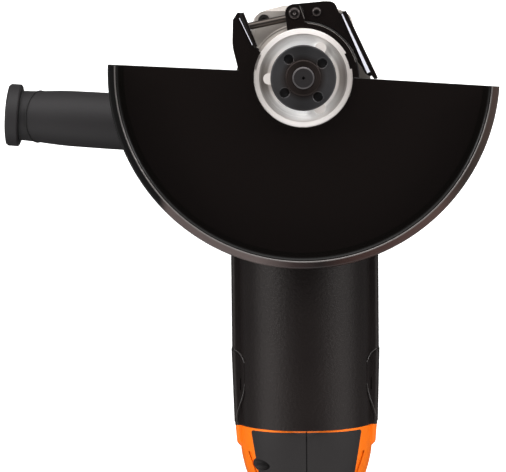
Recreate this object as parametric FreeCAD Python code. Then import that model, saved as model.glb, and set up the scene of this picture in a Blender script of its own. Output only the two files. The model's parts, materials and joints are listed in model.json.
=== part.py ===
"""Angle grinder, 230 mm disc size, lying on its back with the spindle pointing up.

Millimetres. The origin is on the spindle axis, in the plane of the flat back of
the gear case. +Z is the spindle, +Y the nose of the gear case, -Y the rear handle.
"""
import FreeCAD
import Part
import math
import os

# ---- driving dimensions -------------------------------------------------------

# Motor axis and motor housing
barrel_radius = 46.0
barrel_lift = 0.5
housing_wall = 3.2
rail_proud = 3.0
rail_half_height = 16.0
rail_edge_radius = 3.0
housing_front_y = -56.0
housing_flange_length = 12.0
housing_corner_radius = 30.0
housing_end_narrowing = 1.5
housing_rear_recess = 8.0
rear_wall_thickness = 4.0

# Gear case
case_inset = 2.0
case_front_above_axis = 35.5
case_nose_y = 47.2
case_nose_half_width = 12.0
case_cheek_y = 31.5
case_shoulder_y = 4.0
case_back_radius = 8.0
case_joint_y = -15.0
case_flange_thickness = 8.0
case_screw_inset_x = 10.0
case_screw_inset_z = 13.0
case_screw_radius = 2.5
case_screw_head_radius = 4.4
case_screw_head_height = 4.0
case_screw_length = 16.0

# Threaded sockets for the side handle
socket_y = -33.4
socket_radius = 7.0
socket_depth = 17.0
socket_boss_radius = 13.0

# Bearing flange with the neck that carries the guard
flange_base_thickness = 5.0
flange_base_half_x = 31.0
flange_base_half_y = 43.4
flange_base_corner = 6.5
flange_bed_gap = 0.6
flange_screw_inset = 6.0
flange_screw_radius = 2.5
flange_screw_head_radius = 3.9
flange_screw_head_height = 2.6
flange_screw_length = 18.0
neck_radius = 33.6
neck_height = 15.8
neck_shoulder_step = 1.8
neck_shoulder_height = 1.2
spigot_step = 1.1
spigot_depth = 6.0
groove_depth = 3.3
groove_height = 2.8
lip_step = 2.0
lip_height = 6.4
lip_face_width = 3.3
dish_step = 1.2
dish_bowl_depth = 3.4
dish_depth = 9.0
dish_inner_radius = 15.0
dish_wall = 4.0
bayonet_angle = 70.3
bayonet_half_angle = 9.7
bayonet_depth = 1.3
pad_radius = 3.65
pad_circle_radius = 22.0
pad_below_lip = 0.8
pad_angles = (181.0, 59.0, -62.0)

# Spindle and what turns with it
spindle_thread_radius = 7.0
spindle_core_radius = 6.8
spindle_stand_out = 4.0
spindle_chamfer = 1.0
spindle_centre_radius = 1.1
spindle_shaft_radius = 8.5
spindle_collar_radius = 11.0
spindle_tail_radius = 6.0
spindle_tail_length = 15.0
needle_bush_radius = 9.0
needle_bush_floor = 2.0
bearing_outer_radius = 20.0
bearing_width = 12.0
bearing_gap = 0.05
bearing_ring_share = 0.45
spacer_radius = 11.5
inner_flange_radius = 20.0
inner_flange_thickness = 8.0
inner_flange_neck_radius = 14.0
inner_flange_neck = 6.0
disc_hub_radius = 11.1
disc_hub_height = 2.5
nut_radius = 20.85
nut_thickness = 7.0
nut_hub_radius = 11.2
nut_hub_height = 4.0
nut_hole_radius = 3.0
nut_hole_chamfer = 0.4
nut_hole_circle = 15.0
nut_hole_angle = 37.5
nut_hole_depth = 5.0

# Bevel gears, straight teeth, shafts at a right angle
gear_teeth = 40
pinion_teeth = 10
gear_outer_pitch_radius = 29.0
tooth_face_width = 8.5
tooth_pressure_angle = 25.0
tooth_backlash = 0.12
tooth_shift = 0.45
gear_body_thickness = 9.0
gear_web_radius = 18.5
gear_web_setback = 2.0
gear_hub_radius = 12.0
gear_hub_height = 5.0
pinion_nut_flats = 8.5
pinion_nut_height = 3.0
pinion_nut_gap = 0.3

# Spindle lock
lock_circle_radius = 15.6
lock_pin_radius = 2.4
lock_hole_clearance = 0.4
lock_hole_count = 8
lock_travel = 5.0
lock_pin_short_of_web = 1.2
lock_button_radius = 8.5
lock_button_thickness = 5.0
lock_button_sink = 1.0
lock_spring_packed = 5.0
lock_slide_clearance = 0.08
lock_spring_radius = 3.2
lock_spring_wire = 0.4
lock_spring_turns = 5

# Motor
shaft_radius = 6.0
shaft_journal_radius = 4.0
shaft_end_radius = 3.0
front_bearing_radius = 16.0
front_bearing_width = 10.0
rear_bearing_radius = 11.0
rear_bearing_width = 7.0
rear_bearing_behind_commutator = 15.0
rear_boot_thickness = 2.0
bearing_plate_thickness = 3.0
core_behind_flange = 48.0
core_length = 60.0
core_to_housing_gap = 0.8
stator_thickness = 15.0
air_gap = 0.6
slot_count = 12
slot_width = 3.2
slot_depth = 9.0
commutator_radius = 17.0
commutator_length = 20.0
commutator_behind_core = 13.0
commutator_bars = 24
fan_behind_flange = 14.0
fan_width = 14.0
fan_to_housing_gap = 6.8
fan_blades = 13
baffle_thickness = 2.5
brush_width = 7.0
brush_height = 14.0
brush_gap = 0.15
brush_length = 18.0
brush_holder_wall = 1.2

# Side covers over the brushes
cover_behind_commutator = 3.0
cover_short_of_rear = 2.0
cover_half_height = 22.0
cover_front_slant = 7.2
cover_straight = 12.4
cover_upper_x = 39.6
cover_waist_x = 41.0
cover_waist_from_rear = 18.5
cover_tail_x = 45.2
cover_tail_rise = 3.5
cover_catch_inset = 3.9
cover_catch_width = 0.8
cover_catch_length = 8.2
cover_catch_depth = 1.4
cover_proud = 0.4
cover_thickness = 2.0
cover_slot_count = 7
cover_slot_width = 2.2
cover_slot_pitch = 5.5

# Side handle
side_handle_sweep = 4.15
side_handle_length = 149.3
handle_end_radius = 20.8
handle_end_width = 9.0
handle_neck_radius = 16.6
handle_grip_radius = 18.8
handle_inner_flange_radius = 24.0
handle_inner_flange_width = 5.0
handle_inner_length = 20.0
handle_inner_radius = 13.0
handle_stud_radius = 6.9
handle_stud_bury = 30.0

# Guard for a 230 mm disc
guard_turn = -3.8
guard_radius = 124.3
guard_centre_offset = 2.9
guard_cut_y = 1.5
guard_cut_rise_left = 1.2
guard_cut_rise_right = 0.4
guard_sheet = 2.0
guard_plate_above_neck = 0.2
guard_depth = 27.0
guard_bend_radius = 6.0
guard_lip_width = 4.8
guard_collar_gap = 0.3
guard_cam_angle = 21.0
guard_cam_half_angle = 7.0
guard_cam_gap = 0.3
guard_wing_reach = 47.3
guard_wing_middle_y = 24.0
guard_wing_corner_y = 34.6
ear_bevel = 0.8
ear_stand = 1.4
clamp_sweep_radius = 50.0
clamp_sweep_gap = 0.4
disc_face_above_plate = 23.0

# Clamp band and its quick release
band_thickness = 2.5
band_gap = 0.1
band_height = 10.0
band_gap_start = 103.5
band_gap_end = 150.0
pivot_x = -8.0
pivot_y = 41.0
link_length = 14.3
link_angle = 6.8
lug_radius = 6.0
lever_end_radius = 5.2
lever_sheet = 2.0
lever_gap = 0.2
lever_band_gap = 0.6
lever_depth = 11.8
lever_crest_y = 50.1
lever_crest_x = 17.4
lever_web_sheet = 2.9
lever_web_top_x = 24.9
lever_web_top_y = 44.7
lever_tip_x = 48.3
lever_tip_y = 2.2
lever_bevel_rise = 2.2
lever_bevel_start = 0.7
lever_bevel_end = 2.1
lever_strip_width = 1.2
rivet_radius = 2.5
rivet_head_radius = 4.0
rivet_head_height = 0.9
barrel_radius_mid = 4.5
barrel_pin_radius = 3.0
rod_radius = 2.4
rod_overhang = 8.0
ear_hole_x = -37.5
ear_hole_y = 31.0
ear_slot_half = 5.6
ear_above_hole = 9.4
adjusting_nut_flats = 8.0
adjusting_nut_length = 4.5

# Rear handle
handle_length = 210.0
collar_length = 12.0
collar_proud_x = 1.3
collar_inset_z = 2.0
collar_step = 2.6
collar_taper = 3.6
collar_ear_narrowing = 1.0
collar_ear_drop = 3.8
shell_wall = 4.4
skin_thickness = 2.2
grip_skin_half_x = 36.6
parting_groove_half = 0.4
parting_groove_depth = 1.2
handle_groove_spots = ((16.0, 37.4), (30.3, 32.4), (44.0, 30.2))
handle_groove_width = 2.2
handle_groove_depth = 0.9
rib_thickness = 2.0
rib_gap = 0.2
grip_half_x = 23.5
grip_half_z = 27.0
tail_half_x = 26.0
tail_half_z = 30.0
inlet_radius = 7.0
inlet_ring_radius = 11.0
inlet_ring_length = 14.0
inlet_ring_lip = 2.0
handle_screw_radius = 2.0
handle_screw_head_radius = 3.3
handle_screw_sleeve = 0.8
handle_screw_seat = 6.5
handle_screw_reach = 12.0
handle_screw_spots = ((24.0, 33.5), (72.0, -20.5), (164.0, -19.5), (193.0, 19.5))

# Trigger and lock-on button, heights above the motor axis
trigger_behind_collar = 75.0
trigger_length = 78.0
trigger_half_width = 8.5
trigger_gap = 0.5
trigger_base_height = 19.5
trigger_pin_setback = 5.0
trigger_pin_height = 22.0
trigger_pin_radius = 2.0
trigger_pin_half = 12.5
trigger_pin_boss = 2.5
lock_on_setback = 18.0
lock_on_height = 19.5
lock_on_radius = 4.0
lock_on_gap = 0.08
lock_on_surface_x = 20.0
lock_on_proud = 3.0
lock_on_flange_x = 12.5
lock_on_flange_radius = 5.0
lock_on_stem_radius = 1.8
lock_on_boss_depth = 4.0
switch_half_x = 10.0
switch_length = 48.0
switch_ahead_of_rear = 6.0
switch_low_height = -8.5
switch_high_height = 13.5
plunger_radius = 3.0
plunger_setback = 44.0
plunger_depth = 8.0
module_half_x = 14.0
module_ahead_of_trigger = 12.0
module_length = 32.0
module_low_height = -12.5
module_high_height = 9.5

# ---- sizes worked out from the driving ones ------------------------------------

motor_axis_z = barrel_radius + barrel_lift
rail_half_width = barrel_radius + rail_proud
bore_radius = barrel_radius - housing_wall
case_half_width = barrel_radius - case_inset
case_front_z = motor_axis_z + case_front_above_axis
case_screw_x = barrel_radius - case_screw_inset_x
case_screw_offset_z = barrel_radius - case_screw_inset_z
flange_base_z = case_front_z + flange_base_thickness
flange_screw_x = flange_base_half_x - flange_screw_inset
flange_screw_y = flange_base_half_y - flange_screw_inset
spigot_radius = neck_radius - spigot_step
neck_shoulder_radius = neck_radius + neck_shoulder_step
groove_radius = neck_radius - groove_depth
lip_radius = neck_radius - lip_step
neck_top_z = flange_base_z + neck_height
groove_top_z = neck_top_z + groove_height
lip_front_z = groove_top_z + lip_height
dish_floor_z = lip_front_z - dish_step - dish_depth
bearing_floor_z = dish_floor_z - dish_wall
bearing_low_z = bearing_floor_z - bearing_width
guard_plate_z = neck_top_z + guard_plate_above_neck
guard_front_z = guard_plate_z + guard_depth
inner_flange_front_z = guard_plate_z + disc_face_above_plate
inner_flange_back_z = inner_flange_front_z - inner_flange_thickness
nut_back_z = inner_flange_front_z
nut_front_z = nut_back_z + nut_thickness
nut_top_z = nut_front_z + nut_hub_height
spindle_tip_z = nut_top_z + spindle_stand_out
spindle_thread_z = nut_top_z + 0.1 * spindle_stand_out
lock_recess_depth = lock_button_sink + lock_button_thickness + lock_travel + lock_spring_packed
spindle_tail_z = lock_recess_depth + needle_bush_floor + 1.0
tooth_module = 2 * gear_outer_pitch_radius / gear_teeth
pinion_outer_pitch_radius = gear_outer_pitch_radius * pinion_teeth / gear_teeth
outer_cone_distance = math.hypot(gear_outer_pitch_radius, pinion_outer_pitch_radius)
gear_web_z = motor_axis_z + pinion_outer_pitch_radius + gear_web_setback
gear_hub_z = motor_axis_z + pinion_outer_pitch_radius + gear_body_thickness + gear_hub_height
front_bearing_y = housing_front_y + front_bearing_width
core_front_y = housing_front_y - core_behind_flange
core_rear_y = core_front_y - core_length
commutator_y = core_rear_y - commutator_behind_core
brush_y = commutator_y - commutator_length / 2
rear_bearing_y = commutator_y - commutator_length - rear_bearing_behind_commutator
rear_wall_y = rear_bearing_y - rear_bearing_width
housing_rear_y = rear_wall_y - rear_wall_thickness - housing_rear_recess
stator_radius = bore_radius - core_to_housing_gap
armature_radius = stator_radius - stator_thickness
fan_y = housing_front_y - fan_behind_flange
fan_radius = bore_radius - fan_to_housing_gap
brush_holder_start = commutator_radius + 3.0
brush_reach = rail_half_width - housing_end_narrowing - cover_thickness - 1.1
cover_front_y = commutator_y - cover_behind_commutator
cover_rear_y = housing_rear_y + cover_short_of_rear
link_x = pivot_x + link_length * math.cos(math.radians(link_angle))
link_y = pivot_y + link_length * math.sin(math.radians(link_angle))
band_outer_radius = neck_radius + band_gap + band_thickness
band_top_z = guard_plate_z
band_low_z = band_top_z - band_height
lever_inner_radius = band_outer_radius + lever_band_gap
lever_top_z = guard_plate_z - lever_gap
lever_low_z = lever_top_z - lever_depth
rod_z_level = (lever_top_z + lever_low_z) / 2
rear_lug_z = lever_low_z - lever_gap - guard_sheet
collar_half_x = barrel_radius + collar_proud_x
collar_half_z = barrel_radius - collar_inset_z
handle_tail_y = housing_rear_y - handle_length
handle_screw_places = [(housing_rear_y - back, motor_axis_z + up)
                       for back, up in handle_screw_spots]
trigger_front_y = housing_rear_y - trigger_behind_collar
trigger_rear_y = trigger_front_y - trigger_length
trigger_base_z = motor_axis_z + trigger_base_height
trigger_pin_y = trigger_front_y - trigger_pin_setback
trigger_pin_z = motor_axis_z + trigger_pin_height
lock_on_y = trigger_front_y - lock_on_setback
lock_on_z = motor_axis_z + lock_on_height
switch_rear_y = trigger_rear_y + switch_ahead_of_rear
switch_low_z = motor_axis_z + switch_low_height
switch_high_z = motor_axis_z + switch_high_height
plunger_y = trigger_front_y - plunger_setback
module_rear_y = trigger_front_y + module_ahead_of_trigger
module_low_z = motor_axis_z + module_low_height
module_high_z = motor_axis_z + module_high_height


# ---- helpers ------------------------------------------------------------------

X_AXIS = FreeCAD.Vector(1, 0, 0)
Y_AXIS = FreeCAD.Vector(0, 1, 0)
Z_AXIS = FreeCAD.Vector(0, 0, 1)


def point(x, y, z=0.0):
    return FreeCAD.Vector(x, y, z)


def polar(radius, degrees, z=0.0):
    angle = math.radians(degrees)
    return point(radius * math.cos(angle), radius * math.sin(angle), z)


def block(low_x, high_x, low_y, high_y, low_z, high_z):
    size = (high_x - low_x, high_y - low_y, high_z - low_z)
    return Part.makeBox(*size, point(low_x, low_y, low_z))


def rod_z(radius, low_z, high_z, x=0.0, y=0.0):
    return Part.makeCylinder(radius, high_z - low_z, point(x, y, low_z), Z_AXIS)


def rod_y(radius, low_y, high_y, x=0.0, z=motor_axis_z):
    return Part.makeCylinder(radius, high_y - low_y, point(x, low_y, z), Y_AXIS)


def rod_x(radius, low_x, high_x, y=0.0, z=0.0):
    return Part.makeCylinder(radius, high_x - low_x, point(low_x, y, z), X_AXIS)


def ring_z(outer, inner, low_z, high_z):
    return rod_z(outer, low_z, high_z).cut(rod_z(inner, low_z, high_z))


def ring_y(outer, inner, low_y, high_y):
    return rod_y(outer, low_y, high_y).cut(rod_y(inner, low_y, high_y))


def turned_z(outline, x=0.0, y=0.0):
    """Solid of revolution about a vertical axis from (radius, z) pairs."""
    corners = [point(x + radius, y, z) for radius, z in outline]
    face = Part.Face(Part.makePolygon(corners + corners[:1]))
    return face.revolve(point(x, y), Z_AXIS, 360)


def turned_y(outline, z=motor_axis_z):
    """Solid of revolution about the motor axis from (radius, y) pairs."""
    corners = [point(radius, y, z) for radius, y in outline]
    face = Part.Face(Part.makePolygon(corners + corners[:1]))
    return face.revolve(point(0, 0, z), Y_AXIS, 360)


def rounded_wire(corners, place):
    """Closed wire of straight runs joined by tangent arcs, from (a, b, radius) corners."""
    stretches = []
    for index, (a, b, radius) in enumerate(corners):
        corner = point(a, b)
        before = (point(*corners[index - 1][:2]) - corner).normalize()
        after = (point(*corners[(index + 1) % len(corners)][:2]) - corner).normalize()
        half_angle = before.getAngle(after) / 2
        reach = radius / math.tan(half_angle)
        middle = corner + (before + after).normalize() * (radius / math.sin(half_angle) - radius)
        stretches.append((corner + before * reach, middle, corner + after * reach, radius))
    edges = []
    for index, (start, middle, end, radius) in enumerate(stretches):
        if radius > 0:
            edges.append(Part.Arc(place(start), place(middle), place(end)).toShape())
        following = stretches[(index + 1) % len(stretches)][0]
        if end.distanceToPoint(following) > 1e-6:
            edges.append(Part.makeLine(place(end), place(following)))
    return Part.Wire(edges)


def level(z):
    return lambda spot: point(spot.x, spot.y, z)


def across(y):
    return lambda spot: point(spot.x, y, spot.y)


def along(x):
    return lambda spot: point(x, spot.x, spot.y)


def rectangle(half_a, half_b, radius, centre_a=0.0, centre_b=0.0):
    signs = ((1, 1), (1, -1), (-1, -1), (-1, 1))
    return [(centre_a + a * half_a, centre_b + b * half_b, radius) for a, b in signs]


def hexagon(flats, centre_a, centre_b):
    radius = flats / 2 / math.cos(math.radians(30))
    spots = [polar(radius, 60 * step) for step in range(6)]
    return [(centre_a + spot.x, centre_b + spot.y, 0) for spot in spots]


def plate_z(corners, low_z, high_z):
    """Flat plate across the spindle from (x, y, radius) corners."""
    face = Part.Face(rounded_wire(corners, level(low_z)))
    return face.extrude(point(0, 0, high_z - low_z))


def plate_y(corners, low_y, high_y):
    """Prism along the tool from (x, z, radius) corners."""
    face = Part.Face(rounded_wire(corners, across(low_y)))
    return face.extrude(point(0, high_y - low_y))


def plate_x(corners, low_x, high_x):
    """Prism across the tool from (y, z, radius) corners."""
    face = Part.Face(rounded_wire(corners, along(low_x)))
    return face.extrude(point(high_x - low_x, 0))


def fused(shapes):
    whole = shapes[0]
    for shape in shapes[1:]:
        whole = whole.fuse(shape)
    return whole.removeSplitter()


def without(shape, *tools):
    for tool in tools:
        shape = shape.cut(tool)
    return shape


def mirrored_x(shape):
    return shape.mirror(point(0, 0), X_AXIS)


def turned_guard(shape):
    """Set a piece drawn square to the guard to the guard's place on the neck."""
    placed = shape.copy()
    placed.rotate(point(0, 0), Z_AXIS, guard_turn)
    return placed


def group(shapes):
    return Part.makeCompound(shapes)


# ---- gear case -----------------------------------------------------------------


def case_screw_places():
    return [(x, motor_axis_z + z) for x in (-case_screw_x, case_screw_x)
            for z in (-case_screw_offset_z, case_screw_offset_z)]


def flange_screw_places():
    return [(x, y) for x in (-flange_screw_x, flange_screw_x)
            for y in (-flange_screw_y, flange_screw_y)]


def gear_case():
    """Cast head: rounded nose, flared to the motor flange, bored for gears and bearings."""
    corner_x = flange_base_half_x + flange_bed_gap
    corner_y = flange_base_half_y - flange_base_corner / 2
    side = [
        (case_half_width, case_joint_y, 0),
        (case_half_width, case_shoulder_y, 14),
        (corner_x + 1.8, case_cheek_y, 8),
        (corner_x, corner_y, 5),
        (flange_screw_x - 1.0, flange_base_half_y + 1.0, 5),
        (case_nose_half_width, case_nose_y, 10),
    ]
    outline = side + [(-x, y, radius) for x, y, radius in reversed(side)]
    head = plate_z(outline, 0, case_front_z)
    back_edges = [edge for edge in head.Edges
                  if abs(edge.CenterOfMass.z) < 0.01 and edge.CenterOfMass.y > case_joint_y + 1]
    head = head.makeFillet(case_back_radius, back_edges)
    half_z = barrel_radius
    flange_rear = housing_front_y
    flange_front = flange_rear + case_flange_thickness
    flange = plate_y(rectangle(rail_half_width, half_z, housing_corner_radius, 0, motor_axis_z),
                     flange_rear, flange_front)
    wide = rounded_wire(rectangle(rail_half_width - 1, half_z - 1, housing_corner_radius - 1, 0,
                                  motor_axis_z), across(flange_front))
    narrow = rounded_wire(rectangle(case_half_width, case_front_z / 2, case_back_radius, 0,
                                    case_front_z / 2), across(case_joint_y))
    throat = Part.makeLoft([wide, narrow], True, True)
    bosses = [side_handle_frame(rod_x(socket_boss_radius, -rail_half_width / 2, 0))]
    bosses.append(mirrored_x(bosses[0]))
    bosses.append(rod_z(socket_boss_radius, 0, socket_depth + 3, 0, socket_y))
    body = fused([head, throat, flange] + bosses)
    chamber = rod_z(spigot_radius, motor_axis_z + 2.5, case_front_z)
    flange_bed = plate_z(rectangle(flange_base_half_x + flange_bed_gap,
                                   flange_base_half_y + flange_bed_gap, flange_base_corner),
                         case_front_z, 2 * motor_axis_z + 10)
    shoulder_bed = rod_z(neck_shoulder_radius + flange_bed_gap, case_front_z,
                         2 * motor_axis_z + 10)
    well = rod_z(21.0, spindle_tail_z + spindle_tail_length, motor_axis_z + 3)
    tail_bore = rod_z(needle_bush_radius, spindle_tail_z - 1, motor_axis_z)
    pinion_bore = rod_y(11.5, front_bearing_y, 0)
    bearing_bore = rod_y(front_bearing_radius, front_bearing_y - front_bearing_width, front_bearing_y)
    body = without(body, chamber, flange_bed, shoulder_bed, well, tail_bore, pinion_bore, bearing_bore)
    sockets = [side_handle_frame(rod_x(socket_radius, -socket_depth, 10))]
    sockets.append(mirrored_x(sockets[0]))
    sockets.append(rod_z(socket_radius, 0, socket_depth, 0, socket_y))
    body = without(body, *sockets)
    for x, y in flange_screw_places():
        body = body.cut(rod_z(flange_screw_radius, flange_base_z - flange_screw_length,
                              case_front_z, x, y))
    for x, z in case_screw_places():
        body = body.cut(rod_y(case_screw_radius, flange_rear, flange_front, x, z))
        body = body.cut(rod_y(case_screw_head_radius + 0.6, flange_front - 2.0,
                              flange_front + 16, x, z))
    recess = rod_z(lock_button_radius + 0.5, 0, lock_recess_depth, 0, lock_circle_radius)
    guide = rod_z(lock_pin_radius + lock_slide_clearance, 0, motor_axis_z, 0, lock_circle_radius)
    sweep = rod_z(clamp_sweep_radius, rear_lug_z - clamp_sweep_gap, 2 * motor_axis_z + 10)
    return without(body, recess, guide, sweep)


def gear_case_screws():
    """Four screws that hold the motor housing to the gear case, heads forward."""
    screws = []
    seat_y = housing_front_y + case_flange_thickness - 2.0
    for x, z in case_screw_places():
        head = rod_y(case_screw_head_radius, seat_y, seat_y + case_screw_head_height, x, z)
        socket = rod_y(case_screw_radius * 0.9, seat_y + case_screw_head_height / 2,
                       seat_y + case_screw_head_height, x, z)
        shank = rod_y(case_screw_radius, seat_y + 0 - case_screw_length, seat_y, x, z)
        screws.append(head.cut(socket).fuse(shank).removeSplitter())
    return group(screws)


# ---- bearing flange --------------------------------------------------------------


def bearing_flange():
    """Square-based cover with a turned neck, grooved lip, hollow dish and bearing pocket."""
    base = plate_z(rectangle(flange_base_half_x, flange_base_half_y, flange_base_corner),
                   case_front_z, flange_base_z)
    dish_edge = lip_radius - lip_face_width
    bowl_top = lip_front_z - dish_step
    bowl_width = dish_edge - nut_radius
    shoulder_top = flange_base_z + neck_shoulder_height
    pocket = bearing_outer_radius
    outline = [
        (pocket, case_front_z - spigot_depth),
        (spigot_radius, case_front_z - spigot_depth),
        (spigot_radius, case_front_z),
        (neck_shoulder_radius, case_front_z),
        (neck_shoulder_radius, shoulder_top - 0.8),
        (neck_shoulder_radius - 0.8, shoulder_top),
        (neck_radius, shoulder_top),
        (neck_radius, neck_top_z),
        (groove_radius, neck_top_z),
        (groove_radius, groove_top_z),
        (lip_radius, groove_top_z),
        (lip_radius, lip_front_z - 0.5),
        (lip_radius - 0.5, lip_front_z),
        (dish_edge, lip_front_z),
        (dish_edge, bowl_top),
        (dish_edge - 0.15 * bowl_width, bowl_top - 0.30 * dish_bowl_depth),
        (dish_edge - 0.35 * bowl_width, bowl_top - 0.58 * dish_bowl_depth),
        (dish_edge - 0.60 * bowl_width, bowl_top - 0.80 * dish_bowl_depth),
        (dish_edge - bowl_width, bowl_top - dish_bowl_depth),
        (dish_inner_radius + 1.0, bowl_top - dish_bowl_depth - 0.6),
        (dish_inner_radius, dish_floor_z),
        (spindle_collar_radius + 1.0, dish_floor_z),
        (spindle_collar_radius + 1.0, bearing_floor_z),
        (pocket, bearing_floor_z),
    ]
    body = fused([turned_z(outline), base])
    body = body.cut(rod_z(pocket, case_front_z - spigot_depth, bearing_floor_z))
    for turn in (-bayonet_angle, bayonet_angle):
        middle = 90 + turn
        notch = ring_z(lip_radius + 2, lip_radius - bayonet_depth, groove_top_z, lip_front_z)
        wedge = plate_z([(0, 0, 0)] + [(*polar(60, middle + side * bayonet_half_angle)[:2], 0)
                                       for side in (-1, 1)], groove_top_z, lip_front_z)
        body = body.cut(notch.common(wedge))
    for angle in pad_angles:
        spot = polar(pad_circle_radius, angle)
        pad = rod_z(pad_radius, dish_floor_z - 0.5, lip_front_z - pad_below_lip, spot.x, spot.y)
        body = body.fuse(pad)
    for x, y in flange_screw_places():
        body = body.cut(rod_z(flange_screw_radius, case_front_z, flange_base_z, x, y))
        body = body.cut(rod_z(flange_screw_head_radius, flange_base_z - flange_screw_head_height,
                              flange_base_z, x, y))
    return body.removeSplitter()


def bearing_flange_screws():
    screws = []
    for x, y in flange_screw_places():
        head_low = flange_base_z - flange_screw_head_height
        head = rod_z(flange_screw_head_radius - 0.2, head_low, flange_base_z - 0.2, x, y)
        socket = rod_z(flange_screw_radius * 0.8, head_low + 0.8, flange_base_z, x, y)
        shank = rod_z(flange_screw_radius, flange_base_z - flange_screw_length, head_low, x, y)
        screws.append(head.cut(socket).fuse(shank).removeSplitter())
    return group(screws)


def bearing_pair_z(outer, inner, low, high):
    """Outer and inner bearing rings about the spindle with a running gap between."""
    middle = inner + (outer - inner) * bearing_ring_share
    return ring_z(outer, middle + bearing_gap, low, high), ring_z(middle, inner, low, high)


def bearing_pair_y(outer, inner, low, high):
    """Outer and inner bearing rings about the motor axis with a running gap between."""
    middle = inner + (outer - inner) * bearing_ring_share
    return ring_y(outer, middle + bearing_gap, low, high), ring_y(middle, inner, low, high)


# ---- spindle ----------------------------------------------------------------------


def spindle():
    """Turned spindle: tail journal, gear and bearing seats, collar and threaded end."""
    tail_top = spindle_tail_z + spindle_tail_length
    seat_z = inner_flange_back_z - inner_flange_neck
    outline = [
        (0, spindle_tail_z),
        (spindle_tail_radius, spindle_tail_z),
        (spindle_tail_radius, tail_top + 1),
        (spindle_shaft_radius, tail_top + 2),
        (spindle_shaft_radius, bearing_floor_z),
        (spindle_collar_radius, bearing_floor_z),
        (spindle_collar_radius, seat_z),
        (spindle_core_radius, seat_z),
        (spindle_core_radius, spindle_thread_z),
        (spindle_thread_radius, spindle_thread_z),
        (spindle_thread_radius, spindle_tip_z - spindle_chamfer),
        (spindle_thread_radius - spindle_chamfer, spindle_tip_z),
        (spindle_centre_radius, spindle_tip_z),
        (0, spindle_tip_z - 2 * spindle_centre_radius),
    ]
    return turned_z(outline)


def inner_flange():
    """Backing flange with the hub that centres the disc."""
    back_z = inner_flange_back_z
    outline = [
        (spindle_thread_radius, back_z - inner_flange_neck),
        (inner_flange_neck_radius, back_z - inner_flange_neck),
        (inner_flange_neck_radius, back_z),
        (inner_flange_radius, back_z + 2.0),
        (inner_flange_radius, inner_flange_front_z),
        (disc_hub_radius, inner_flange_front_z),
        (disc_hub_radius, inner_flange_front_z + disc_hub_height),
        (spindle_thread_radius, inner_flange_front_z + disc_hub_height),
    ]
    return turned_z(outline)


def gear_spacer():
    """Plain tube that holds the crown gear off the spindle bearing."""
    return ring_z(spacer_radius, spindle_shaft_radius, gear_hub_z, bearing_low_z)


def clamp_nut():
    """Round nut with a stepped hub and four holes for a pin spanner."""
    outline = [
        (spindle_thread_radius, nut_back_z + disc_hub_height + 0.3),
        (disc_hub_radius + 0.3, nut_back_z + disc_hub_height + 0.3),
        (disc_hub_radius + 0.3, nut_back_z),
        (nut_radius - 0.5, nut_back_z),
        (nut_radius, nut_back_z + 0.5),
        (nut_radius, nut_front_z - 0.6),
        (nut_radius - 0.6, nut_front_z),
        (nut_hub_radius, nut_front_z),
        (nut_hub_radius, nut_top_z - 0.5),
        (nut_hub_radius - 0.5, nut_top_z),
        (spindle_thread_radius + 0.3, nut_top_z),
        (spindle_thread_radius, nut_top_z - 0.3),
    ]
    body = turned_z(outline)
    for step in range(4):
        spot = polar(nut_hole_circle, nut_hole_angle + 90 * step)
        hole = turned_z([(0, nut_front_z - nut_hole_depth),
                         (nut_hole_radius, nut_front_z - nut_hole_depth),
                         (nut_hole_radius, nut_front_z - nut_hole_chamfer),
                         (nut_hole_radius + nut_hole_chamfer, nut_front_z),
                         (0, nut_front_z)], spot.x, spot.y)
        body = body.cut(hole)
    return body


# ---- bevel gears --------------------------------------------------------------------


def involute(angle):
    return math.tan(angle) - angle


def tooth_pyramid(teeth, cone_angle, shift, addendum, dedendum, height):
    """Toothed pyramid with its tip at the meeting point of the shafts, opening along +Z.

    Each flank follows the involute of the gear's back cone, and every face runs to the tip.
    """
    pressure = math.radians(tooth_pressure_angle)
    pitch_radius = tooth_module * teeth / 2 / math.cos(cone_angle)
    base_radius = pitch_radius * math.cos(pressure)
    thickness = tooth_module * (math.pi / 2 + 2 * shift * math.tan(pressure)) - tooth_backlash / 2
    root = pitch_radius - dedendum * tooth_module
    tip = pitch_radius + addendum * tooth_module
    start = max(root + 0.05, base_radius)
    radii = [root] + [start + (tip - start) * step / 3 for step in range(4)]
    corners = []
    for tooth in range(teeth):
        middle = 2 * math.pi * tooth / teeth
        flank = []
        for radius in radii:
            slope = math.acos(min(1.0, base_radius / radius))
            half = thickness / 2 / pitch_radius + involute(pressure) - involute(slope)
            spread = half / math.cos(cone_angle)
            tilt = cone_angle + math.atan((radius - pitch_radius) / outer_cone_distance)
            flank.append((height * math.tan(tilt), spread))
        for reach, spread in flank:
            corners.append(polar(reach, math.degrees(middle - spread), height))
        for reach, spread in reversed(flank):
            corners.append(polar(reach, math.degrees(middle + spread), height))
    closed = corners + corners[:1]
    faces = [Part.Face(Part.makePolygon(closed))]
    for first, second in zip(closed, closed[1:]):
        faces.append(Part.Face(Part.makePolygon([point(0, 0), first, second, point(0, 0)])))
    return Part.Solid(Part.Shell(faces))


def back_cone(pitch_radius, mate_radius, share, offset):
    """(radius, height) of a spot off the pitch line, square to it, at a share of its length."""
    along_x = pitch_radius / outer_cone_distance
    along_z = mate_radius / outer_cone_distance
    return (pitch_radius * share + offset * along_z, mate_radius * share - offset * along_x)


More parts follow.
